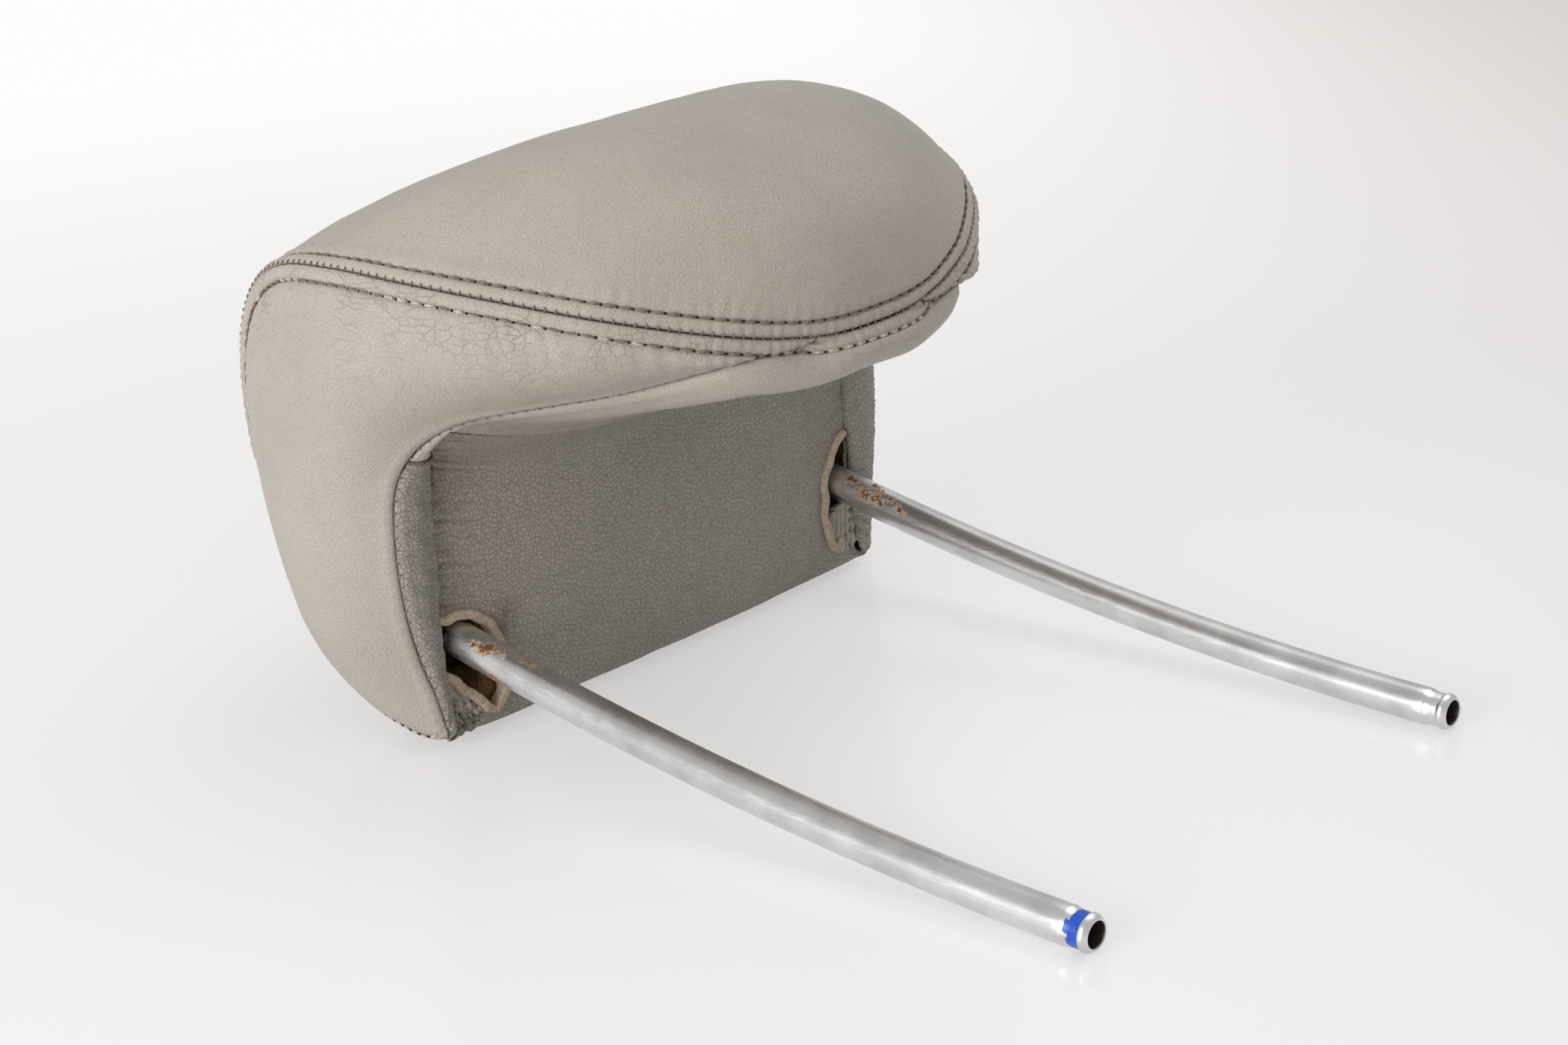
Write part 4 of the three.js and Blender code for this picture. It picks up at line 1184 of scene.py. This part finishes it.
def sewTopRow(panel, wanted=None, paleness=0.0):
    pitch = seamLook["topstitchPitch"]
    line = rowBeside(panel, "top", seamLook["topstitchAway"], wanted)
    for place, normal, direction in alongRow(line, pitch, pitch / 2):
        row = pale if threads.dice.random() < paleness else threads
        row.add(place, normal, direction, threadLook["length"], threadLook["thick"], 0.32, 0.09)
    for place, normal, direction in alongRow(line, pitch):
        holes.add(place, normal, direction, threadLook["hole"], threadLook["hole"], 0.1)


def sewTicks(panel, run, pitch, length, lift, wanted=None, wander=0.2):
    line = rowBeside(panel, run, 0.4, wanted)
    for place, normal, direction in alongRow(line, pitch, pitch / 2):
        across = np.cross(normal, direction)
        ticks.add(place, normal, across, length, threadLook["tickThick"], lift, wander)


sewTopRow(panels["front"])
sewTopRow(panels["chin"], paleness=0.9)
sewTicks(panels["front"], "top", seamLook["tickPitch"], threadLook["tick"], 0.75)
for label in ("left", "right"):
    side, gusset = panels[f"side_{label}"], panels[f"strip_{label}"]
    rows = np.broadcast_to(sideRows[:, None], side.nearest.shape)
    sewTopRow(side, rows < shape["backSeam"], 0.3)
    sewTicks(side, f"lower_{label}", threadLook["lowerPitch"], 1.3, 0.6, rows < shape["transverseSeam"])
    sewTicks(gusset, f"lower_{label}", threadLook["lowerPitch"], 1.3, 0.6)
    length, thick, pitch = threadLook["dash"]
    away = threadLook["dashAway"]
    bottomRow = rowBeside(side, f"bottom_{label}", away, rows > threadLook["dashFrom"])
    for place, normal, direction in alongRow(bottomRow, pitch):
        pale.add(place, normal, direction, length, thick, 0.35, 0.1)
    for place, normal, direction in alongRow(bottomRow, pitch, pitch / 2):
        holes.add(place, normal, direction, threadLook["dashHole"], threadLook["dashHole"], 0.1)
    cross = rowBeside(gusset, "first", 0.5)
    for place, normal, direction in alongRow(cross, 1.1):
        ticks.add(place, normal, direction, 1.9, 0.6, 0.7, 1.0)

# Short loose stitches that hold the pleats, along the valleys of the fan
looseLook = {"pitch": 2.6, "length": 2.6, "thick": 0.85, "hole": 1.1, "lowest": 5, "widest": 96.5}
towardsPosts = (0, -1, 0)
for label, look in pleats.items():
    for fold in range(1, look["count"]):
        turn = math.radians(look["from"] + (look["to"] - look["from"]) * fold / look["count"])
        first, last = look["reach"]
        for step, away in enumerate(np.arange(first + 1, last - 3, looseLook["pitch"])):
            px = look["focus"][0] + away * math.cos(turn)
            pz = look["focus"][1] + away * math.sin(turn)
            overSlot = any(insideOutline(outline, px, pz) for outline in slotOutlines)
            if overSlot or abs(px) > looseLook["widest"] or pz < looseLook["lowest"]:
                continue
            place = np.array([px, recessFace(px, pz), pz])
            heading = np.array([math.cos(turn), 0, math.sin(turn)])
            if step % 2:
                holes.add(place, towardsPosts, heading, looseLook["hole"], looseLook["hole"], 0.1)
            else:
                length, thick = looseLook["length"], looseLook["thick"]
                pale.add(place, towardsPosts, heading, length, thick, 0.35, 0.25)

for key, sewing in (("threads", threads), ("pale", pale), ("holes", holes), ("ticks", ticks)):
    pieces[key] = sewing.finish()
print("stitches sewn")


# The bent tube with its two open ends: rust as distance from the tip, angle round the tube and size
rustSpots = {
    "left": [
        (246, 132, 2.6), (242, 124, 3), (239, 118, 2.2), (236, 112, 1.6), (227, 95, 1.6),
        (224, 90, 2.3), (221, 88, 1.8), (238, -156, 2), (235.5, -149, 2.4), (232.5, -145, 1.6),
        (213.5, 88, 1.4), (216, -174, 0.8),
    ],
    "right": [
        (250, 116, 2), (247, 112, 1.7), (243, 133, 1.6), (239, 95, 2.2), (236, 104, 1.6),
        (241, 148, 2.4), (236, 140, 2.6), (232, 150, 1.4), (229.5, 118, 1.7), (225.5, 138, 1.8),
        (222, 148, 1.4), (246, 168, 1.2),
    ],
}


def postPath():
    shape = postShape
    top = math.atan(shape["tipSlope"] + shape["legLength"] / shape["curveRadius"])
    half = []
    for y in np.arange(0, shape["legLength"], shape["step"]):
        slope = math.atan(shape["tipSlope"] + y / shape["curveRadius"])
        half.append(((-postX, y, legHeight(y)), (0, math.cos(slope), math.sin(slope)), slope))
    for turn in np.linspace(0, math.pi / 2, 14):
        along = shape["cornerRadius"] * math.sin(turn)
        place = (
            -postX + shape["cornerRadius"] * (1 - math.cos(turn)),
            shape["legLength"] + along * math.cos(top),
            legHeight(shape["legLength"]) + along * math.sin(top),
        )
        heading = (math.sin(turn), math.cos(turn) * math.cos(top), math.cos(turn) * math.sin(top))
        half.append((place, heading, top))
    return half


def makePosts():
    half = postPath()
    tipPlace, tipHeading = np.array(half[0][0]), np.array(half[0][1])
    rings = []
    for depth, radius in postShape["tip"]:
        rings.append((tipPlace + tipHeading * depth, tipHeading, half[0][2], radius, depth))
    nose = postShape["tip"][-1][0]
    for place, heading, slope in half:
        if place[1] > nose + 1:
            rings.append((np.array(place), np.array(heading), slope, postShape["radius"], place[1]))
    flipX = np.array([-1, 1, 1])
    rings += [(p * flipX, -h * flipX, s, r, depth) for p, h, s, r, depth in reversed(rings)]
    angles = np.linspace(0, 2 * np.pi, postShape["sides"] + 1)
    points, rust, paint, bore = [], [], [], []
    for number, (centre, heading, slope, radius, depth) in enumerate(rings):
        down = np.array([0, math.sin(slope), -math.cos(slope)])
        inward = np.cross(down, heading)
        ring = centre + radius * (np.cos(angles)[:, None] * inward + np.sin(angles)[:, None] * down)
        points.append(ring)
        label = "left" if centre[0] < 0 else "right"
        around = np.degrees(np.arctan2(ring[:, 2] - centre[2], ring[:, 0] - centre[0]))
        spots = np.zeros(len(angles))
        for y, angle, size in rustSpots[label]:
            apart = np.radians((around - angle + 180) % 360 - 180) * postShape["radius"]
            spots = np.maximum(spots, 0.85 * np.exp(-((np.hypot(apart, centre[1] - y) / size) ** 2)))
        rust.append(spots)
        fromTip = number if label == "left" else len(rings) - 1 - number
        inBore = fromTip < 4
        bore.append(np.full(len(angles), float(inBore)))
        edge = 5.8 + 1.8 * np.cos(np.radians(around - 150)) + 0.5 * np.sin(np.radians(around * 3))
        isPainted = label == "left" and not inBore and depth > 3
        paint.append(np.where(depth < edge, 1.0, 0.0) * isPainted)
    marks = {"rust": np.array(rust), "paint": np.array(paint), "bore": np.array(bore)}
    return gridPiece("post_tube", np.array(points), satinSteel, marks)


pieces["posts"] = makePosts()
print("posts made")


# Foam, from a copy of its CAD solid: remeshed and made a little uneven
foamLook = {"voxel": 3.2, "rough": 0.5}


def makeFoam():
    bm = bmesh.new()
    bm.from_mesh(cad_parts["foam_pad"].data)
    bm.transform(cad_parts["foam_pad"].matrix_world)
    bmesh.ops.remove_doubles(bm, verts=bm.verts, dist=0.005 * mm)
    foam = meshObject("foam_core", bm, grainy["yellowed foam with painted shade"])
    remesh = foam.modifiers.new("remesh", "REMESH")
    remesh.mode = "VOXEL"
    remesh.voxel_size = foamLook["voxel"] * mm
    settle(foam)
    for vert in foam.data.vertices:
        rise = noise.noise(vert.co / (6 * mm)) - 1
        vert.co += vert.normal * rise * foamLook["rough"] * mm
    for polygon in foam.data.polygons:
        polygon.use_smooth = True
    foam.data.materials.clear()
    foam.data.materials.append(grainy["yellowed foam with painted shade"])
    return foam


pieces["foam"] = makeFoam()
print("foam made")

# What each piece stands for, rides on and is finished in
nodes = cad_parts
replaced = {
    "front": "front_panel",
    "chin": "chin_gusset",
    "rear": "rear_panel",
    "foam": "foam_pad",
    "posts": "post_frame",
}
for label in ("left", "right"):
    replaced[f"side_{label}"] = f"side_panel_{label}"
    replaced[f"strip_{label}"] = f"recess_gusset_{label}"
    replaced[f"band_{label}"] = f"slot_facing_{label}"
for key, piece in pieces.items():
    if key.startswith(("flap", "edge")):
        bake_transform(piece)
    else:
        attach(piece, "frame" if key == "posts" else "pad")
    if key in replaced:
        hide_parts(replaced[key])

nodeMaterials = {
    "core": grainy["black moulded plastic"],
    "clamp_cap": grainy["black moulded plastic"],
    "tilt_bush": grainy["natural nylon"],
}
for name, node in nodes.items():
    for start, material in nodeMaterials.items():
        if "screw" in name or name.startswith(start):
            for slot in node.material_slots:
                slot.material = grainy["zinc plate"] if "screw" in name else material
print("pieces dressed")

# Floor, lights and world
stageLook = {
    "floor": (0.8, 0.785, 0.78, 1),
    "sheen": 0.16,
    "shown": (1, 0.99, 0.985, 1),
    # Painted shadow: the floor's paleness turns this grey towards one heading, over a reach in metres
    "paintedShadow": (0.66, 0.62, 0.61, 1),
    "paintedShadowHeading": (0.74, -0.67, 0),
    "paintedShadowReach": (0.05, 0.75),
    "shownNear": 0.5,
    "shownFar": 0.97,
    "key": {"place": (-1.8, 0.0, 0.5), "size": 1.2, "power": 25.5},
    "fill": {"place": (0.9, -0.1, 1.9), "size": 1.8, "power": 12.5},
    "world": 0.58,
}


# What the camera and the metal see of the floor: its lit surface, with its own paleness mixed in
# so that it stays near white and still keeps the shadows
def makeFloor(look):
    bm = bmesh.new()
    bmesh.ops.create_grid(bm, x_segments=1, y_segments=1, size=8)
    material, tree, surface = newMaterial("pale floor", Roughness=look["sheen"], Base_Color=look["floor"])
    paths = addNode(tree, "ShaderNodeLightPath")
    seen = combine(tree, "MAXIMUM", paths.outputs["Is Camera Ray"], paths.outputs["Is Glossy Ray"])
    away = addNode(tree, "ShaderNodeVectorMath", operation="LENGTH")
    tree.links.new(objectPlace(tree), away.inputs[0])
    share = remap(tree, away.outputs["Value"], 0.25, 1.3, look["shownNear"], look["shownFar"])
    shown = addNode(tree, "ShaderNodeEmission")
    # Painted shadow: the paleness shown on the floor turns grey towards +x and -y, beside the pad away from
    # the key light
    aside = addNode(tree, "ShaderNodeVectorMath", operation="DOT_PRODUCT")
    tree.links.new(objectPlace(tree), aside.inputs[0])
    aside.inputs[1].default_value = look["paintedShadowHeading"]
    inPaintedShadow = remap(tree, aside.outputs["Value"], *look["paintedShadowReach"], 0, 1)
    tree.links.new(tint(tree, inPaintedShadow, look["shown"], look["paintedShadow"]), shown.inputs["Color"])
    mix = addNode(tree, "ShaderNodeMixShader")
    tree.links.new(combine(tree, "MULTIPLY", seen, share), mix.inputs[0])
    tree.links.new(surface.outputs[0], mix.inputs[1])
    tree.links.new(shown.outputs[0], mix.inputs[2])
    tree.links.new(mix.outputs[0], tree.nodes["Material Output"].inputs["Surface"])
    meshObject("floor", bm, material)


def makeLamp(name, look):
    data = bpy.data.lights.new(name, "AREA")
    data.shape = "DISK"
    data.size = look["size"]
    data.energy = look["power"]
    lamp = bpy.data.objects.new(name, data)
    aim = Vector((0, 0.05, 0.08)) - Vector(look["place"])
    lamp.matrix_world = Matrix.Translation(look["place"]) @ aim.to_track_quat("-Z", "Y").to_matrix().to_4x4()
    bpy.context.scene.collection.objects.link(lamp)


def makeWorld(look):
    world = bpy.data.worlds.new("studio")
    bpy.context.scene.world = world
    world.use_nodes = True
    tree = world.node_tree
    lit = tree.nodes["Background"]
    lit.inputs["Color"].default_value = look["shown"]
    lit.inputs["Strength"].default_value = look["world"]
    paths = addNode(tree, "ShaderNodeLightPath")
    seen = combine(tree, "MAXIMUM", paths.outputs["Is Camera Ray"], paths.outputs["Is Transmission Ray"])
    white = addNode(tree, "ShaderNodeBackground", Color=look["shown"])
    mix = addNode(tree, "ShaderNodeMixShader")
    tree.links.new(seen, mix.inputs[0])
    tree.links.new(lit.outputs[0], mix.inputs[1])
    tree.links.new(white.outputs[0], mix.inputs[2])
    tree.links.new(mix.outputs[0], tree.nodes["World Output"].inputs["Surface"])


makeFloor(stageLook)
makeLamp("key", stageLook["key"])
makeLamp("fill", stageLook["fill"])
makeWorld(stageLook)
bpy.context.scene.view_settings.view_transform = "Standard"
print("stage lit")
